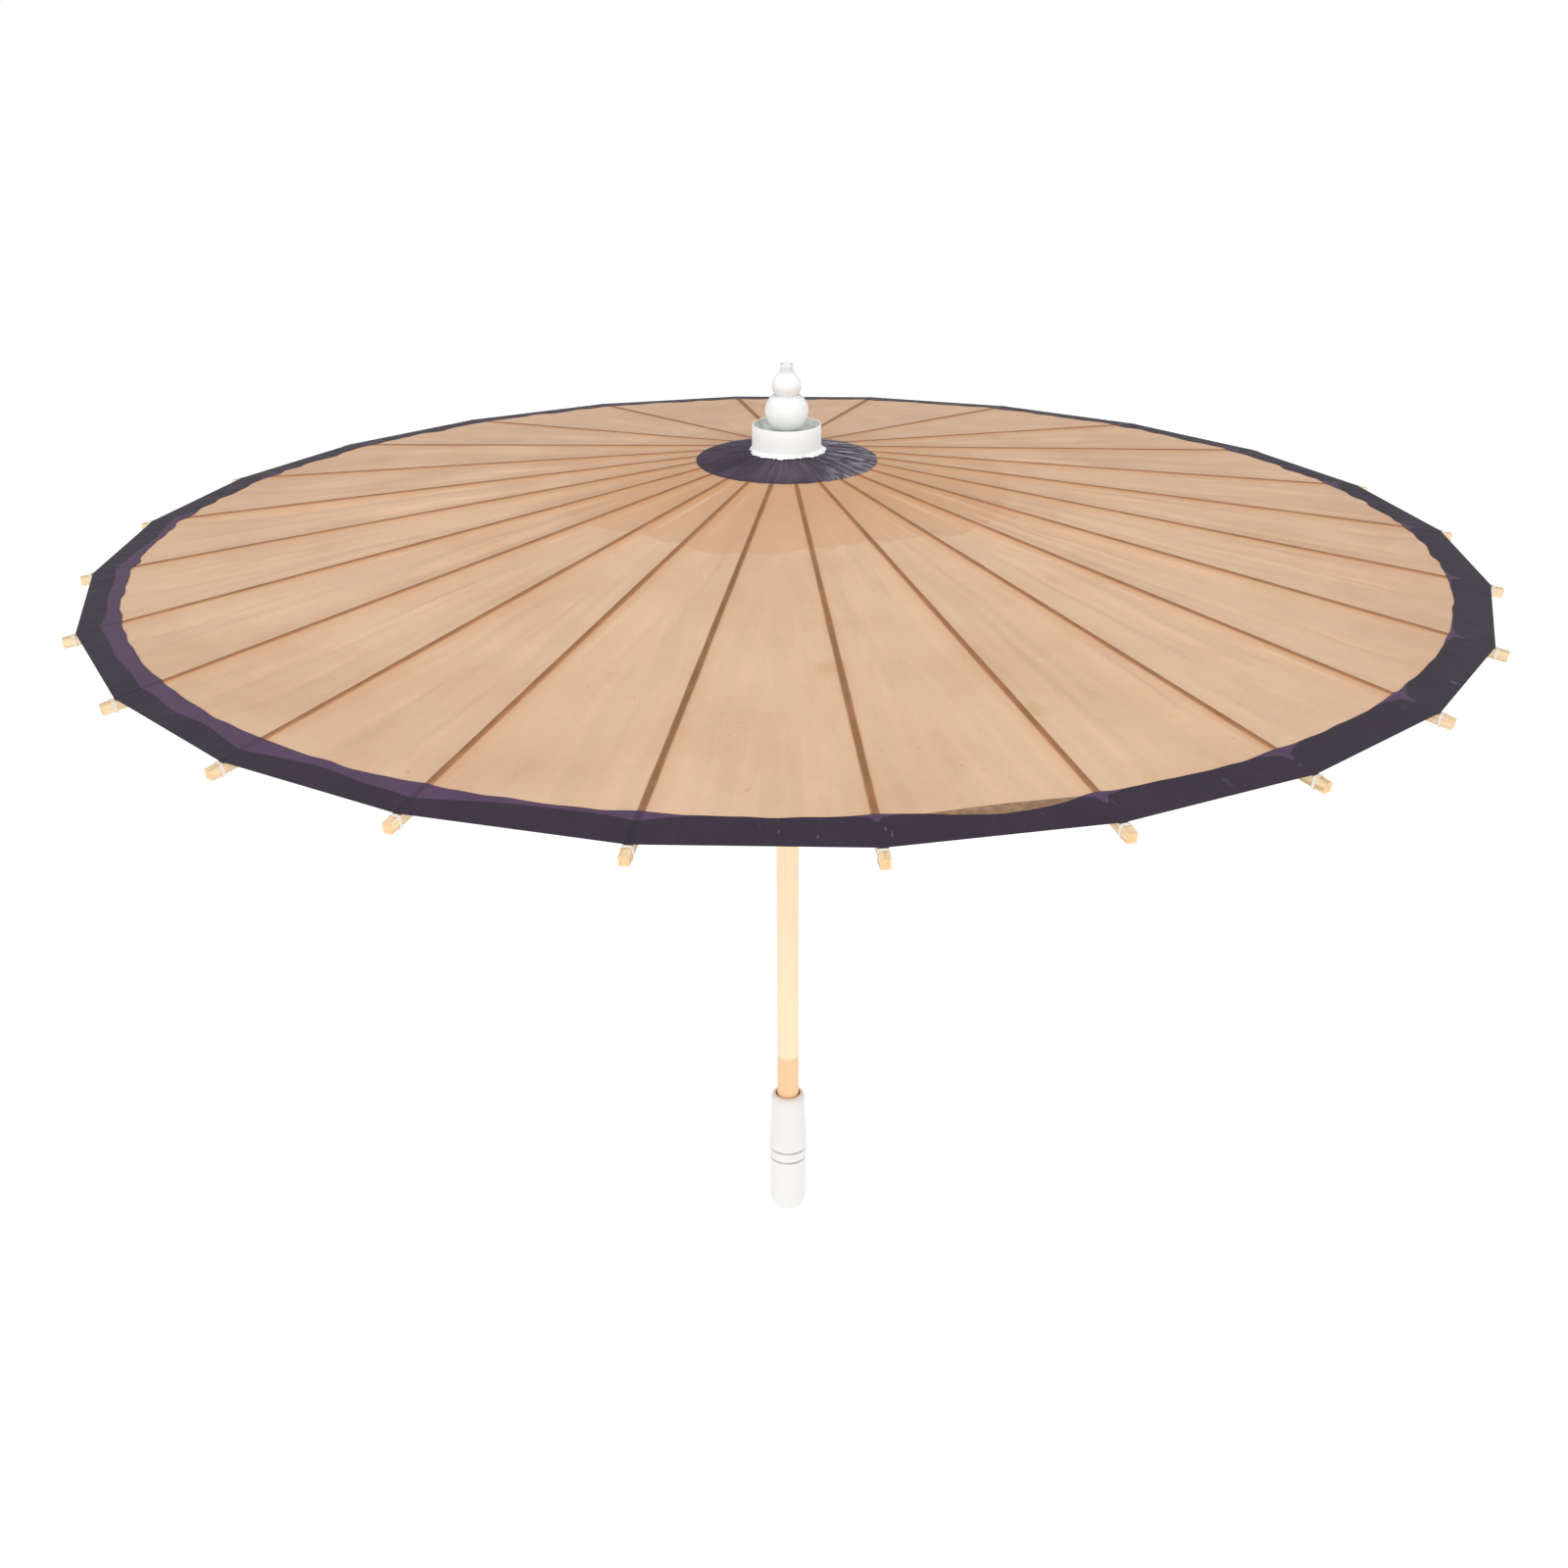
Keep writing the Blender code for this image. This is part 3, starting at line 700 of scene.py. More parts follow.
def paper_finish(settings, underside=False):
    """Oiled paper: clouds, fibres and long streaks, with painted shade over every rib, and a
    painted glow and a painted highlight line beside it.
    """
    name = "oiled_paper_below" if underside else "oiled_paper_above"
    made = Finish(name, 0.62, Specular_IOR_Level=0.2)
    rest = made.rest()
    across, radius, number = made.field("across"), made.field("radius"), made.field("number")
    near = made.field("near")
    clouds = made.noise(rest, 11.0, 4.0, 0.6)
    color = made.mix(made.ramp(clouds, 0.36, 0.70), settings.paper, settings.paper_deep)
    drift = made.times(made.noise(rest, 9.0, 1.0), 5.0)
    drifting = made.plus(made.times(across, 150.0), drift)
    lane = made.join(drifting, made.times(radius, 6.5), made.times(number, 3.7))
    streaks = made.noise(lane, 1.0, 2.0, 0.45)
    fibre_lane = made.join(made.times(across, 1300.0), made.times(radius, 190.0), number)
    fibres = made.noise(fibre_lane, 1.0, 3.0)
    cross_lane = made.join(made.times(across, 120.0), made.times(radius, 900.0), number)
    laid = made.noise(cross_lane, 1.0, 2.0)
    color = made.tone(color, streaks, 0.30, 0.72, 0.974, 1.022)
    color = made.tone(color, fibres, 0.25, 0.80, 0.975, 1.02)
    color = made.tone(color, laid, 0.25, 0.75, 0.985, 1.01)

    wander = made.times(made.noise(rest, 9.0, 2.0), 0.040)
    doubled = made.ramp(made.plus(radius, wander), 0.1560, 0.1585, 1.0, 0.0)
    shown = made.times(
        made.ramp(made.split(rest)[1], -0.09, 0.03, 1.0, 0.55),
        made.ramp(radius, 0.05, 0.14, 0.86, 0.40),
    )
    color = made.mix(made.times(doubled, shown), color, settings.inner)

    for angle, distance, reach in PAPER_SPOTS:
        turn = math.radians(angle)
        centre = (distance * math.cos(turn), distance * math.sin(turn), canopy_height(distance))
        spot = made.blot(rest, centre, reach, 0.010)
        color = made.mix(made.times(spot, 0.5), color, tint(203, 168, 122))

    # Painted light beside each rib: an orange glow, wider and stronger on the rib's front side, in
    # patches.
    half = made.math(
        "MULTIPLY_ADD", near, 0.0006, made.ramp(radius, 0.03, 0.40, 0.0015, 0.0020)
    )
    uneven = made.times(made.noise(lane, 2.0, 2.0), 0.0008)
    edge = made.minus(made.plus(made.math("ABSOLUTE", across), uneven), half)
    patch_lane = made.join(made.times(radius, 16.0), made.times(number, 2.3), near)
    patches = made.noise(patch_lane, 1.0, 2.0)
    reach = made.times(made.math("POWER", 2.718, made.times(near, -1.15)), -540.0)
    glow = made.math("EXPONENT", made.times(made.math("MAXIMUM", edge, 0.0), reach))
    strength = made.times(
        made.ramp(patches, 0.3, 0.7, 0.60, 1.0), made.ramp(near, -0.6, 0.8, 0.10, 0.92)
    )
    color = made.mix(made.times(glow, strength), color, settings.glow)
    # A painted highlight line about 8 mm out from each rib, on its front side, in patches.
    fold = made.math("DIVIDE", made.minus(across, 0.0078), 0.0013)
    fold = made.math("EXPONENT", made.math("MULTIPLY", made.times(fold, fold), -1.0))
    lit = made.times(made.ramp(patches, 0.45, 0.7), made.ramp(near, 0.2, 0.8, 0.0, 0.45))
    color = made.mix(made.times(fold, lit), color, tint(236, 206, 176))
    # Painted shade of each rib seen through the paper: darker on the rib's far side, softer on its
    # front side, and in its own colour on the rib that points to the front.
    rib_shade_color = made.mix(made.ramp(near, -0.7, 0.7), tint(122, 84, 56), tint(172, 116, 77))
    rib_shade_color = made.mix(made.field("front"), rib_shade_color, settings.painted_rib_shade)
    core_lane = made.join(made.times(radius, 60.0), number, made.times(across, 300.0))
    mottle = made.ramp(made.noise(core_lane, 1.0, 3.0), 0.3, 0.7, 0.86, 1.14)
    soft = made.math("MULTIPLY_ADD", near, 0.0007, 0.0009)
    painted_rib_shade = made.ramp(edge, -0.0004, soft, 0.92, 0.0)
    color = made.mix(painted_rib_shade, color, made.shade(rib_shade_color, mottle))

    bare = made.ramp(made.field("bared"), -0.0001, 0.0003)
    blotches = made.ramp(made.noise(rest, 260.0, 3.0), 0.35, 0.65, 0.72, 1.12)
    bare_color = made.shade(tint(150, 118, 90), blotches)
    color = made.mix(made.times(bare, 0.92), color, bare_color)
    specks = made.ramp(made.noise(rest, 230.0, 1.0), 0.76, 0.80, 0.0, 0.45)
    color = made.mix(specks, color, tint(188, 150, 116))
    if underside:
        hem = made.ramp(made.field("hem"), -0.0003, 0.0003, 1.0, 0.0)
        color = made.mix(hem, color, settings.violet_deep)
    relief = made.plus(streaks, made.times(fibres, 0.2))
    gloss = made.ramp(streaks, 0.3, 0.7, 0.52, 0.66)
    return made.done(color, relief, 0.00025, gloss)


def violet_finish(settings, crown=False):
    """Violet paper: darker over its own hem, with painted shade over a rib, scratched pale along
    the radius.

    The crown's has painted shade and light on its crease lines and painted highlight streaks on
    the right, and the band's has a light notch at each rib on the right and scratches on the left.
    """
    name = "violet_crown_paper" if crown else "violet_band_paper"
    made = Finish(name, 0.5, Specular_IOR_Level=0.22)
    rest = made.rest()
    across, radius, number = made.field("across"), made.field("radius"), made.field("number")
    x, y, _ = made.split(rest)
    turn = made.math("ARCTAN2", y, x)
    lane = made.lane((across, 300.0), (radius, 11.0), (number, 5.3))
    streaks = made.noise(lane, 1.0, 3.0, 0.6)
    clouds = made.noise(rest, 40.0, 3.0)
    rightness = made.ramp(x, 0.008, 0.034) if crown else made.ramp(x, -0.08, 0.05)
    if crown:
        # This noise gives the crease lines relief and also painted shade and light.
        creases_and_painted_shade = made.noise(
            made.join(made.times(turn, 7.0), made.times(radius, 26.0), 3.0), 1.0, 3.0, 0.6
        )
        color = made.mix(made.ramp(clouds, 0.3, 0.7), tint(60, 49, 65), tint(72, 58, 77))
        color = made.tone(color, creases_and_painted_shade, 0.34, 0.62, 0.74, 1.12)
        relief = made.plus(made.times(creases_and_painted_shade, 2.2), streaks)
    else:
        notch = made.times(made.ramp(across, 0.0002, 0.0034, 0.0050, 0.0), rightness)
        doubled = made.ramp(made.plus(made.field("hem"), notch), -0.0004, 0.0004)
        color = made.mix(doubled, settings.violet_deep, settings.violet)
        relief = streaks
    # Painted shade of each rib seen through the violet paper: even on the crown, and on the band
    # strong on the left and faint on the right.
    rib = made.ramp(across, 0.0010, 0.0024, 1.0, 0.0)
    rib_shade_amount = 0.2 if crown else made.ramp(rightness, 0.0, 1.0, 0.34, 0.05)
    color = made.mix(made.times(rib, rib_shade_amount), color, tint(36, 27, 40))
    color = made.tone(color, streaks, 0.25, 0.75, 0.90, 1.08)
    color = made.tone(color, clouds, 0.3, 0.7, 0.94, 1.06)
    fine = made.join(made.times(turn, 32.0), made.times(radius, 42.0), 7.0)
    if crown:
        worn = made.noise(fine, 1.0, 3.0, 0.65)
        # pale is painted highlight streaks on the crown's right; faint is pale scratches all
        # round.
        pale = made.times(made.ramp(worn, 0.45, 0.61, 0.0, 0.86), rightness)
        faint = made.ramp(worn, 0.62, 0.72, 0.0, 0.16)
        scratches = made.math("MAXIMUM", pale, faint)
        color = made.mix(scratches, color, tint(176, 174, 182))
    else:
        worn = made.noise(
            made.join(made.times(turn, 160.0), made.times(radius, 60.0), 7.0), 1.0, 2.0
        )
        spread = made.ramp(made.noise(rest, 16.0, 2.0), 0.45, 0.60, 0.06, 0.5)
        scratches = made.times(made.ramp(worn, 0.66, 0.74), spread)
        color = made.mix(scratches, color, tint(140, 136, 150))
    gloss = made.ramp(streaks, 0.3, 0.7, 0.36, 0.52)
    return made.done(color, relief, 0.0009 if crown else 0.0003, gloss)


def lacquer_finish(name, white, dull, grooves=()):
    """White lacquer: glossy and nearly even, with patchy painted shade in bands at given heights,
    such as its cut grooves.
    """
    made = Finish(name, 0.2, Specular_IOR_Level=0.5)
    place = made.place()
    clouds = made.noise(place, 38.0, 3.0)
    color = made.mix(made.ramp(clouds, 0.3, 0.8, 0.0, 0.7), white, dull)
    height = made.split(place)[2]
    worn = made.ramp(made.noise(place, 160.0, 3.0), 0.3, 0.6, 0.45, 1.0)
    # Each band is painted shade, patchy, centred on a given height.
    for groove, half, strength in grooves:
        away = made.math("ABSOLUTE", made.minus(height, groove))
        painted_band_shade = made.times(made.ramp(away, half * 0.3, half, strength, 0.0), worn)
        color = made.mix(painted_band_shade, color, tint(138, 126, 122))
    specks = made.ramp(made.noise(place, 300.0, 1.0), 0.77, 0.80, 0.0, 0.4)
    color = made.mix(specks, color, tint(190, 180, 168))
    return made.done(color, clouds, 0.0001, made.ramp(clouds, 0.3, 0.7, 0.16, 0.26))


def wrapped_finish():
    """White paper wrapped round the cup: matt, with short fibres, and painted grey-green shade
    inside.
    """
    made = Finish("white_wrapped_paper", 0.55, Specular_IOR_Level=0.3)
    place = made.place()
    x, y, z = made.split(place)
    fibre_place = made.lane((x, 900.0), (y, 900.0), (z, 250.0))
    fibres = made.noise(fibre_place, 1.0, 3.0)
    clouds = made.noise(place, 90.0, 3.0)
    color = made.mix(made.ramp(clouds, 0.45, 0.80), tint(255, 255, 255), tint(253, 254, 249))
    color = made.tone(color, fibres, 0.2, 0.8, 0.992, 1.0)
    # Painted shade, mottled, on the cup's inner wall and floor.
    radius = made.math("SQRT", made.plus(made.times(x, x), made.times(y, y)))
    inside = made.ramp(radius, CUP_HIGH.x - 0.0013, CUP_HIGH.x - 0.0009, 1.0, 0.0)
    mottle = made.ramp(made.noise(place, 200.0, 3.0), 0.3, 0.7, 0.78, 1.06)
    color = made.mix(inside, color, made.shade(tint(222, 225, 218), mottle))
    return made.done(color, made.plus(clouds, made.times(fibres, 0.2)), 0.0002)


def shaft_finish(settings):
    """Smooth shaft wood: fine grain along its length, warmer at the foot."""
    made = Finish("shaft_wood", 0.42, Specular_IOR_Level=0.35)
    x, y, z = made.split(made.place())
    grain = made.noise(made.lane((x, 950.0), (y, 950.0), (z, 14.0)), 1.0, 4.0, 0.6)
    broad = made.noise(made.lane((x, 160.0), (y, 160.0), (z, 5.0)), 1.0, 2.0)
    wavering = made.plus(z, made.times(made.noise(made.place(), 260.0, 2.0), 0.0016))
    low = made.ramp(wavering, 0.1268, 0.1286, 1.0, 0.0)
    color = made.mix(low, settings.wood, settings.wood_low)
    color = made.mix(made.ramp(grain, 0.5, 0.85, 0.0, 0.45), color, tint(222, 168, 118))
    color = made.tone(color, broad, 0.3, 0.7, 0.97, 1.02)
    return made.done(color, grain, 0.00012, made.ramp(grain, 0.3, 0.7, 0.36, 0.5))


def bamboo_finish(settings):
    """Split bamboo: fibres along every rib, worked out from the rib's own line in plan."""
    made = Finish("split_bamboo", 0.5, Specular_IOR_Level=0.3)
    x, y, z = made.split(made.place())
    radius = made.math("SQRT", made.plus(made.times(x, x), made.times(y, y)))
    turn = made.math("ARCTAN2", y, x)
    count = made.math("MULTIPLY_ADD", turn, 1 / SECTOR, (RIBS * 2.5 + 0.5 - FIRST_RIB / SECTOR))
    number = made.math("FLOOR", count)
    from_rib = made.minus(made.math("FRACT", count), 0.5)
    across = made.times(from_rib, made.times(radius, SECTOR))
    seed = made.times(number, 7.3)
    depth = made.math("MULTIPLY_ADD", z, 240.0, seed)
    fibre_place = made.join(made.times(radius, 7.0), made.times(across, 1300.0), depth)
    fibres = made.noise(fibre_place, 1.0, 4.0, 0.6)
    tone = made.noise(made.join(made.times(radius, 9.0), seed, 0.0), 1.0, 1.0)
    color = made.mix(made.ramp(fibres, 0.42, 0.72), settings.skin, settings.fibre)
    color = made.tone(color, tone, 0.3, 0.7, 0.94, 1.05)
    along = made.plus(
        made.times(made.minus(radius, PIVOT_RADIUS), math.cos(PITCH)),
        made.times(made.minus(PIVOT_HEIGHT, z), math.sin(PITCH)),
    )
    at_end = made.ramp(along, RIB_LENGTH - 0.0005, RIB_LENGTH - 0.0001)
    color = made.mix(at_end, color, made.tone(settings.end_grain, fibres, 0.3, 0.7, 0.8, 1.1))
    return made.done(color, fibres, 0.0002, made.ramp(fibres, 0.3, 0.7, 0.42, 0.6))


def hub_finish(settings):
    """Turned hub wood: grain up the axis, crossed by faint rings from the lathe."""
    made = Finish("turned_hub_wood", 0.55, Specular_IOR_Level=0.3)
    x, y, z = made.split(made.place())
    grain = made.noise(made.lane((x, 420.0), (y, 420.0), (z, 30.0)), 1.0, 4.0, 0.6)
    rings = made.noise(made.join(0.0, 0.0, made.times(z, 2600.0)), 1.0, 1.0)
    color = made.mix(made.ramp(grain, 0.35, 0.75), settings.hub, tint(166, 120, 74))
    return made.done(color, made.plus(grain, made.times(rings, 0.3)), 0.00025)


def metal_finish(name, bright, dull, roughness):
    """Drawn metal: duller and browner in patches."""
    made = Finish(name, roughness, Metallic=1.0)
    patches = made.noise(made.place(), 260.0, 3.0)
    color = made.mix(made.ramp(patches, 0.4, 0.7), bright, dull)
    gloss = made.ramp(patches, 0.3, 0.7, roughness, roughness + 0.2)
    return made.done(color, patches, 0.00005, gloss)


def thread_finish():
    """Cotton thread: twisted strands across its length."""
    made = Finish("cotton_thread", 0.8, Sheen_Weight=0.2)
    strands = made.noise(made.place(), 2600.0, 2.0)
    color = made.mix(made.ramp(strands, 0.35, 0.65), tint(252, 250, 246), tint(226, 220, 210))
    return made.done(color, strands, 0.0001)


def stage_finish(name, roughness, color, glow):
    """The stage's plain matt surface, giving off a little white light of its own."""
    return Finish(
        name, roughness, Specular_IOR_Level=0.0, Base_Color=(*color, 1.0),
        Emission_Color=(1.0, 1.0, 1.0, 1.0), Emission_Strength=glow,
    ).material


def coat(node, material):
    """Gives a CAD node its finished material."""
    mesh = frame["nodes"][node].data
    mesh.materials.clear()
    mesh.materials.append(material)


def finish_piece(piece, body, material, node=None):
    """Gives a piece its material, and says what it rides on and the node it replaces."""
    piece.data.materials.append(material)
    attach(piece, body)
    if node:
        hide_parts(node)


# ---- operators ----
class UMBRELLA_OT_canopy_paper(bpy.types.Operator):
    """Make the oiled paper: a glued strip and two half panels for every rib"""

    bl_idname = "umbrella.canopy_paper"
    bl_label = "Oiled paper"

    def execute(self, context):
        settings = context.scene.umbrella_paper
        materials = (paper_finish(settings), paper_finish(settings, underside=True))
        outer = RIM_RADIUS - 0.0006
        add_layer(
            "paper", constant_edge(SKIN_EDGE + 0.0004), constant_edge(outer), 84, 22, 0.0,
            materials, "canopy_paper", settings,
        )
        return {"FINISHED"}


class UMBRELLA_OT_rim_band(bpy.types.Operator):
    """Make the violet band round the rim, its inner edge a hand-cut circle"""

    bl_idname = "umbrella.rim_band"
    bl_label = "Rim band"

    def execute(self, context):
        settings = context.scene.umbrella_paper
        add_layer(
            "band", round_edge(settings.band_inner, band_ripple), constant_edge(RIM_RADIUS), 8, 22,
            settings.lift, (violet_finish(settings),), "rim_band", settings,
        )
        return {"FINISHED"}


class UMBRELLA_OT_crown_disc(bpy.types.Operator):
    """Make the violet disc round the head, gathered between the ribs"""

    bl_idname = "umbrella.crown_disc"
    bl_label = "Crown disc"

    def execute(self, context):
        settings = context.scene.umbrella_paper
        add_layer(
            "crown", constant_edge(SKIN_EDGE + 0.0005), round_edge(CROWN_RADIUS, crown_ripple),
            16, 9, settings.lift, (violet_finish(settings, crown=True),),
            "crown_disc", settings,
        )
        return {"FINISHED"}


class UMBRELLA_OT_shaft(bpy.types.Operator):
    """Make the shaft: a smooth round stick with the slot that the catch lies in"""

    bl_idname = "umbrella.shaft"
    bl_label = "Shaft"

    def execute(self, context):
        settings = context.scene.umbrella_turned
        radius = SHAFT_HIGH.y
        half_slot = math.asin((CATCH_HIGH.y + 0.0004) / radius)
        low, high = CATCH_LOW.z - CATCH_GAP, RUNNER_BOTTOM + 0.0020
        hair = 1e-5
        turn = np.concatenate([
            np.linspace(-half_slot, half_slot, 7),
            [half_slot + hair],
            np.linspace(half_slot + 0.04, math.tau - half_slot - 0.04, settings.segments),
            [math.tau - half_slot - hair],
        ])
        height = np.array([
            SHAFT_LOW.z, 0.060, 0.0945, 0.1270, 0.20, 0.28, 0.36, low - hair, low, high,
            high + hair, 0.50, SHAFT_HIGH.z,
        ])
        inside = (np.abs((turn + math.pi) % math.tau - math.pi) <= half_slot + hair / 2)
        inside = inside[None, :] & ((height >= low) & (height <= high))[:, None]
        x = np.where(inside, 0.0016, radius * np.cos(turn)[None, :])
        y = np.broadcast_to(radius * np.sin(turn)[None, :], x.shape)
        z = np.broadcast_to(height[:, None], x.shape)
        wall = np.stack([x, y, z], -1)
        caps = [np.zeros((1, len(turn), 3)) + [0.0, 0.0, end] for end in (height[0], height[-1])]
        points = np.concatenate([caps[0], wall, caps[1]])
        piece = make_piece(
            "shaft_stick", points, grid_faces(len(points), len(turn), wrap=True), sharp=35
        )
        finish_piece(piece, "shaft", shaft_finish(settings), "shaft")
        return {"FINISHED"}


class UMBRELLA_OT_grip(bpy.types.Operator):
    """Make the white grip: a swelling barrel with two cut grooves and a domed end"""

    bl_idname = "umbrella.grip"
    bl_label = "Grip"

    def execute(self, context):
        settings = context.scene.umbrella_turned
        dome = np.radians(np.linspace(-90, 0, 15))
        foot = np.stack([0.0036 + 0.0092 * np.cos(dome), 0.0110 + 0.0110 * np.sin(dome)], -1)
        high_groove, low_groove = GRIP_GROOVES
        lower = flowing(
            [(0.0128, 0.0110), (0.0128, 0.0170), (0.0128, 0.0300), (0.0127, 0.0400),
             (0.0127, low_groove - 0.0007)], 5)
        ring = flowing(
            [(0.0129, low_groove + 0.0007), (0.0131, low_groove + 0.0030),
             (0.0131, high_groove - 0.0030), (0.0130, high_groove - 0.0007)], 4)
        barrel = flowing(
            [(0.0132, high_groove + 0.0007), (0.0134, 0.0548), (0.0132, 0.0600),
             (0.0126, 0.0707), (0.0121, 0.0807), (0.0120, 0.0890), (0.0119, 0.0915),
             (0.0114, 0.0938), (0.0103, 0.0953), (0.0092, GRIP_TOP)], 5)

        def cut(height, radius):
            return [(radius - depth, height + rise) for depth, rise in
                    ((0.0006, -0.0005), (0.0011, -0.0002), (0.0011, 0.0002), (0.0006, 0.0005))]

        profile = np.concatenate([
            [(0.0, 0.0)], foot, lower[1:], cut(low_groove, 0.0128), ring,
            cut(high_groove, 0.0131), barrel,
            [(0.0086, 0.0957), (0.0083, 0.0950), (0.0083, 0.0900), (0.0074, 0.0890),
             (0.0074, 0.0218), (0.0, 0.0218)],
        ])
        piece = turned("grip_barrel", profile, settings.segments)
        # Painted shade in the two cut grooves.
        grooves = [(height, 0.0008, 0.8) for height in GRIP_GROOVES]
        lacquer = lacquer_finish("grip_lacquer", settings.grip, tint(223, 223, 222), grooves)
        finish_piece(piece, "shaft", lacquer, "grip")
        return {"FINISHED"}


class UMBRELLA_OT_finial(bpy.types.Operator):
    """Make the gourd finial: two balls, a narrow neck and a dimpled top"""

    bl_idname = "umbrella.finial"
    bl_label = "Gourd finial"

    def execute(self, context):
        settings = context.scene.umbrella_turned
        top = FINIAL_TOP
        waist = top - 0.0190
        angle = np.radians(np.linspace(-70, 52, 34))
        tall = np.where(angle < 0, 0.0126, 0.0131)
        lower = np.stack([0.0131 * np.cos(angle), top - 0.0287 + tall * np.sin(angle)], -1)
        upper = flowing(
            [(0.0069, waist), (0.0079, top - 0.0171), (0.0087, top - 0.0153),
             (0.0090, top - 0.0136), (0.0089, top - 0.0118), (0.0083, top - 0.0101),
             (0.0073, top - 0.0083), (0.0061, top - 0.0066), (0.0048, top - 0.0049),
             (0.0040, top - 0.0033), (0.0040, top - 0.0019), (0.0042, top - 0.0008)], 5)
        profile = np.concatenate([
            [(0.0, lower[0, 1])], lower, upper,
            [(0.0041, top - 0.0003), (0.0037, top), (0.0030, top - 0.0001),
             (0.0026, top - 0.0006), (0.0022, top - 0.0018), (0.0, top - 0.0020)],
        ])
        piece = turned("finial_gourd", profile, settings.segments)
        # Bands of painted shade: at the neck, at the waist, round the top dimple and at the bottom
        # of the lower ball.
        grooves = [
            (top - 0.0036, 0.0022, 0.34), (top - 0.0190, 0.0010, 0.22), (top, 0.0004, 0.55),
            (top - 0.0400, 0.0030, 0.40),
        ]
        lacquer = lacquer_finish("finial_lacquer", settings.white, tint(240, 241, 241), grooves)
        finish_piece(piece, "shaft", lacquer, "finial")
        return {"FINISHED"}


class UMBRELLA_OT_head_cup(bpy.types.Operator):
    """Make the head cup, wrapped in white paper that is torn into a fringe at its foot"""

    bl_idname = "umbrella.head_cup"
    bl_label = "Head cup"

    def execute(self, context):
        settings = context.scene.umbrella_turned
        segments = settings.segments * 2
        low, top = CUP_LOW.z, CUP_HIGH.z
        outer = CUP_HIGH.x
        inner = outer - 0.0014
        floor = NOTCH_TOP + 0.0013
        turn = np.arange(segments) * math.tau / segments
        profile = np.array([
            (0.0, floor - 0.0010), (outer - 0.0012, floor - 0.0010), (outer - 0.0012, low),
            (outer, low), (outer, low + 0.0040), (outer - 0.0001, low + 0.0090),
            (outer - 0.0002, top - 0.0006), (outer - 0.0004, top - 0.0001),
            (outer - 0.0007, top), (inner + 0.0002, top - 0.0002), (inner, top - 0.0006),
            (inner - 0.0001, floor + 0.0010), (inner - 0.0007, floor), (0.0, floor),
        ])
        wave = np.zeros((len(profile), segments))
        wave[4:12] = 0.00010 * ring_wobble(turn, 21, (2, 3, 5))
        cup = turned("head_cup_wall", profile, segments, wave)
        wrapped = wrapped_finish()
        finish_piece(cup, "shaft", wrapped, "head_cup")

        rows = 9
        down = np.linspace(0.0, 1.0, rows)[:, None]
        ragged = ring_wobble(turn, 22, (3, 7, 13, 22, 35, 52))
        fine = ring_wobble(turn, 23, (61, 83, 97))
        flare = 0.65 + 0.45 * np.clip(np.cos(turn), 0.0, 1.0) ** 3
        reach = settings.fringe_reach * (flare + ragged + 0.5 * fine)
        start = 0.0008 + 0.0008 * ring_wobble(turn, 24, (4, 9, 17, 33))
        radius = outer + 0.00012 + np.maximum(reach, 0.0001) * down**1.5
        skin = canopy_height(radius) + 0.0008
        foot = canopy_height(outer) + 0.0008
        height = np.maximum((foot + 0.0012 + start) * (1 - down) + skin * down, skin)
        points = np.stack([radius * np.cos(turn), radius * np.sin(turn), height], -1)
        faces = grid_faces(rows, segments, wrap=True)[:, ::-1]
        fringe = make_piece("torn_paper_fringe", points, faces)
        solid = fringe.modifiers.new("thickness", "SOLIDIFY")
        solid.thickness = 0.0002
        solid.offset = -1.0
        finish_piece(fringe, "shaft", wrapped)
        return {"FINISHED"}


class UMBRELLA_OT_tip_threads(bpy.types.Operator):
    """Wind three turns of white thread round every rib where it leaves the rim"""

    bl_idname = "umbrella.tip_threads"
    bl_label = "Tip threads"

    def execute(self, context):
        settings = context.scene.umbrella_bamboo
        material = thread_finish()
        corner = np.linspace(0, math.tau, 28, endpoint=False)
        half_wide, half_tall, square = 0.0027, 0.0037, 0.35
        side = half_wide * np.sign(np.cos(corner)) * np.abs(np.cos(corner)) ** square
        up = half_tall * np.sign(np.sin(corner)) * np.abs(np.sin(corner)) ** square
        for index in range(RIBS):
            out, across = rib_axes(index)
            normal = math.sin(PITCH) * out + np.array([0.0, 0.0, math.cos(PITCH)])
            along = math.cos(PITCH) * out - np.array([0.0, 0.0, math.sin(PITCH)])
            pivot = PIVOT_RADIUS * out + np.array([0.0, 0.0, PIVOT_HEIGHT])
            points, faces, offset = [], [], 0
            for distance, lean in THREAD_TURNS:
                middle = pivot + distance * along + 0.0001 * normal
                upwards = up[:, None] * (normal + lean * along)
                path = middle + side[:, None] * across + upwards
                made, quads = tube(path, settings.thread, 6)
                points.append(made)
                faces.append(quads + offset)
                offset += len(made)
            piece = make_piece(
                f"tip_thread_{index + 1:02d}", np.concatenate(points), np.concatenate(faces)
            )
            finish_piece(piece, f"rib_{index + 1:02d}", material)
        return {"FINISHED"}


class UMBRELLA_OT_bamboo(bpy.types.Operator):
    """Finish the ribs and stretchers as split bamboo"""

    bl_idname = "umbrella.bamboo"
    bl_label = "Split bamboo"

    def execute(self, context):
        material = bamboo_finish(context.scene.umbrella_bamboo)
        for index in range(RIBS):
            coat(f"rib_{index + 1:02d}", material)
            coat(f"stretcher_{index + 1:02d}", material)
        return {"FINISHED"}


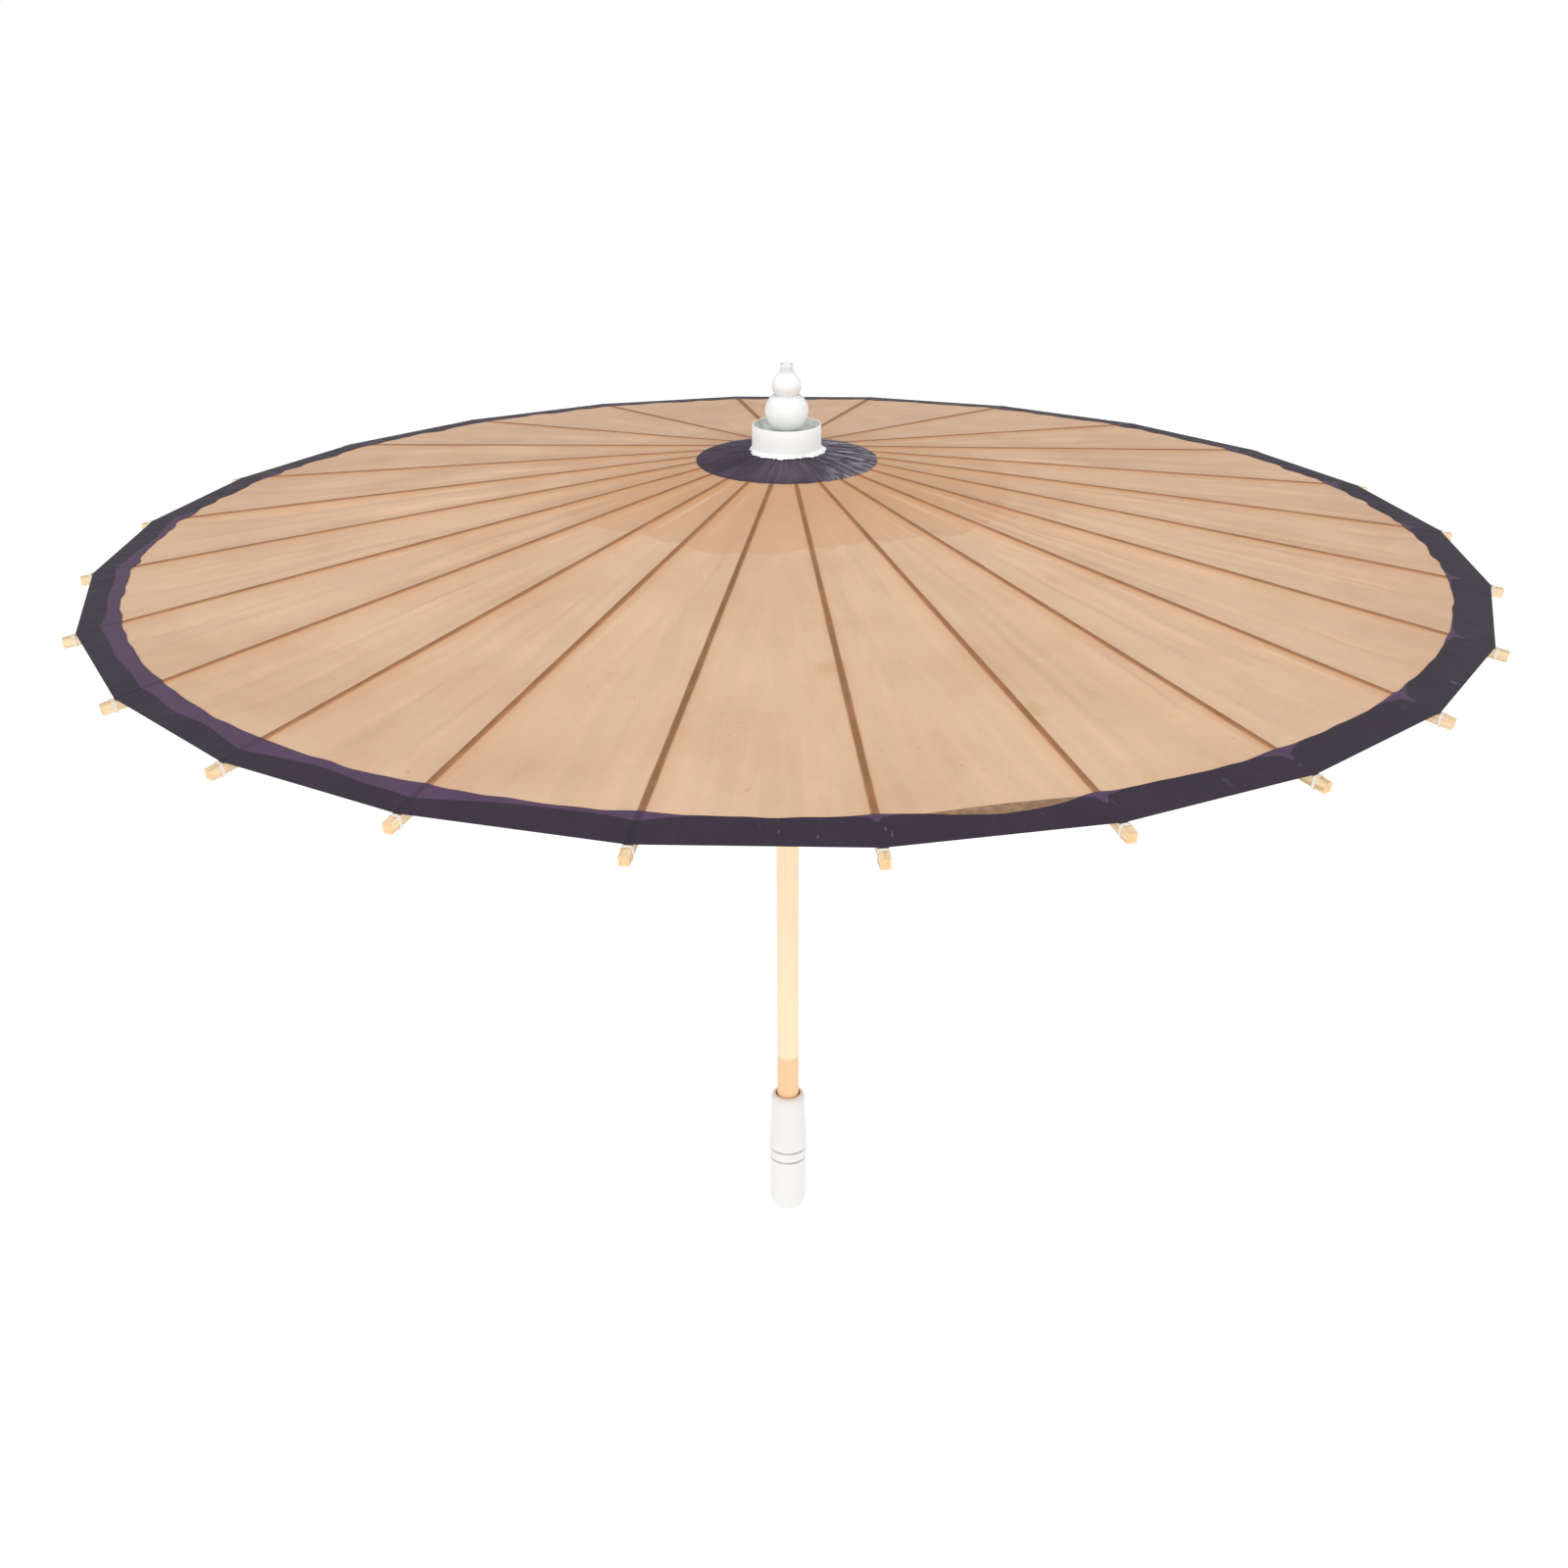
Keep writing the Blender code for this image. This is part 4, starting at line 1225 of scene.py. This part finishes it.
class UMBRELLA_OT_hubs(bpy.types.Operator):
    """Finish the two hubs, their wires and the catch"""

    bl_idname = "umbrella.hubs"
    bl_label = "Hubs and metal"

    def execute(self, context):
        wood = hub_finish(context.scene.umbrella_bamboo)
        wire = metal_finish("drawn_wire", tint(190, 184, 174), tint(128, 112, 92), 0.3)
        brass = metal_finish("spring_strip", tint(206, 182, 124), tint(150, 118, 66), 0.28)
        for node, material in (
            ("notch", wood), ("runner", wood), ("notch_wire", wire), ("runner_wire", wire),
            ("catch_spring", brass),
        ):
            coat(node, material)
        return {"FINISHED"}


class UMBRELLA_OT_stage(bpy.types.Operator):
    """Set the camera, the pale floor and the soft light"""

    bl_idname = "umbrella.stage"
    bl_label = "Stage"

    def execute(self, context):
        settings = context.scene.umbrella_stage
        scene = context.scene
        scene.view_settings.view_transform = "Standard"

        camera = bpy.data.cameras.new("camera")
        camera.sensor_width = 36.0
        camera.lens = settings.lens
        camera.clip_start, camera.clip_end = 0.02, 60.0
        holder = bpy.data.objects.new("camera", camera)
        scene.collection.objects.link(holder)
        pitch, yaw, roll = (math.radians(angle) for angle in CAMERA_TURN)
        ahead = Vector((
            math.sin(yaw) * math.cos(pitch), math.cos(yaw) * math.cos(pitch), -math.sin(pitch)
        ))
        level = Vector((math.cos(yaw), -math.sin(yaw), 0.0))
        up = level.cross(ahead)
        right = math.cos(roll) * level + math.sin(roll) * up
        top = math.cos(roll) * up - math.sin(roll) * level
        holder.matrix_world = Matrix(
            [(right[i], top[i], -ahead[i], CAMERA_PLACE[i]) for i in range(3)]
            + [(0.0, 0.0, 0.0, 1.0)]
        )
        scene.camera = holder

        half = BACKDROP + 2.0
        corners = [(-half, -half), (half, -half), (half, half), (-half, half)]
        floor = make_piece(
            "floor", [(x, y, -settings.floor_drop) for x, y in corners], [(0, 1, 2, 3)]
        )
        floor.data.materials.append(stage_finish("pale_floor", 0.9, settings.floor, 0.30))

        turn, rise = np.meshgrid(
            np.radians(np.arange(0, 360, 7.5)), np.radians(np.arange(0, 91, 7.5))
        )
        points = BACKDROP * np.stack(
            [np.cos(turn) * np.cos(rise), np.sin(turn) * np.cos(rise), np.sin(rise)], -1
        )
        points[..., 2] -= settings.floor_drop + 0.01
        backdrop = make_piece(
            "backdrop", points, grid_faces(*turn.shape, wrap=True)[:, ::-1], sharp=180
        )
        backdrop.data.materials.append(stage_finish("white_backdrop", 1.0, (0.0, 0.0, 0.0), 1.0))
        backdrop.visible_diffuse = False
        backdrop.visible_glossy = False
        backdrop.visible_shadow = False

        world = bpy.data.worlds.new("soft_light")
        world.use_nodes = True
        tree = world.node_tree
        way = tree.nodes.new("ShaderNodeTexCoord")
        slant = tree.nodes.new("ShaderNodeVectorMath")
        slant.operation = "DOT_PRODUCT"
        slant.inputs[1].default_value = Vector(BRIGHT_SIDE).normalized()
        level = tree.nodes.new("ShaderNodeMath")
        level.operation = "MULTIPLY_ADD"
        level.inputs[1].default_value = settings.slant
        level.inputs[2].default_value = settings.sky
        least = tree.nodes.new("ShaderNodeMath")
        least.operation = "MAXIMUM"
        least.inputs[1].default_value = 0.04
        background = tree.nodes["Background"]
        tree.links.new(way.outputs["Generated"], slant.inputs[0])
        tree.links.new(slant.outputs["Value"], level.inputs[0])
        tree.links.new(level.outputs[0], least.inputs[0])
        tree.links.new(least.outputs[0], background.inputs["Strength"])
        background.inputs["Color"].default_value = (1.0, 1.0, 1.0, 1.0)
        scene.world = world
        for name, place, size, energy in (
            ("key_softbox", (-0.5, -2.2, 1.9), 1.2, 6.0),
            ("rear_softbox", (1.6, 0.9, 0.95), 0.5, 1.2),
        ):
            light = bpy.data.lights.new(name, "AREA")
            light.size = size
            light.energy = energy
            lamp = bpy.data.objects.new(name, light)
            scene.collection.objects.link(lamp)
            lamp.location = place
            aim = Vector((0.0, 0.0, RIM_HEIGHT)) - Vector(place)
            lamp.rotation_euler = aim.to_track_quat("-Z", "Y").to_euler()
        return {"FINISHED"}


class UMBRELLA_PT_panel(bpy.types.Panel):
    """The umbrella's settings and its pieces"""

    bl_idname = "UMBRELLA_PT_panel"
    bl_label = "Oil Paper Umbrella"
    bl_space_type = "VIEW_3D"
    bl_region_type = "UI"
    bl_category = "Umbrella"

    def draw(self, context):
        for group in SETTINGS:
            box = self.layout.box()
            settings = getattr(context.scene, group)
            for name in settings.bl_rna.properties.keys():
                if name not in ("rna_type", "name"):
                    box.prop(settings, name)
        for operator in OPERATORS:
            self.layout.operator(operator.bl_idname)


SETTINGS = {
    "umbrella_paper": UmbrellaPaperSettings,
    "umbrella_turned": UmbrellaTurnedSettings,
    "umbrella_bamboo": UmbrellaBambooSettings,
    "umbrella_stage": UmbrellaStageSettings,
}
OPERATORS = (
    UMBRELLA_OT_stage,
    UMBRELLA_OT_bamboo,
    UMBRELLA_OT_hubs,
    UMBRELLA_OT_canopy_paper,
    UMBRELLA_OT_rim_band,
    UMBRELLA_OT_crown_disc,
    UMBRELLA_OT_shaft,
    UMBRELLA_OT_finial,
    UMBRELLA_OT_grip,
    UMBRELLA_OT_head_cup,
    UMBRELLA_OT_tip_threads,
)


def register():
    for cls in (*SETTINGS.values(), *OPERATORS, UMBRELLA_PT_panel):
        bpy.utils.register_class(cls)
    for name, group in SETTINGS.items():
        setattr(bpy.types.Scene, name, PointerProperty(type=group))


def unregister():
    for name in SETTINGS:
        delattr(bpy.types.Scene, name)
    for cls in reversed((*SETTINGS.values(), *OPERATORS, UMBRELLA_PT_panel)):
        bpy.utils.unregister_class(cls)


def main():
    register()
    for operator in OPERATORS:
        group, name = operator.bl_idname.split(".")
        getattr(getattr(bpy.ops, group), name)()


if __name__ == "__main__":
    main()
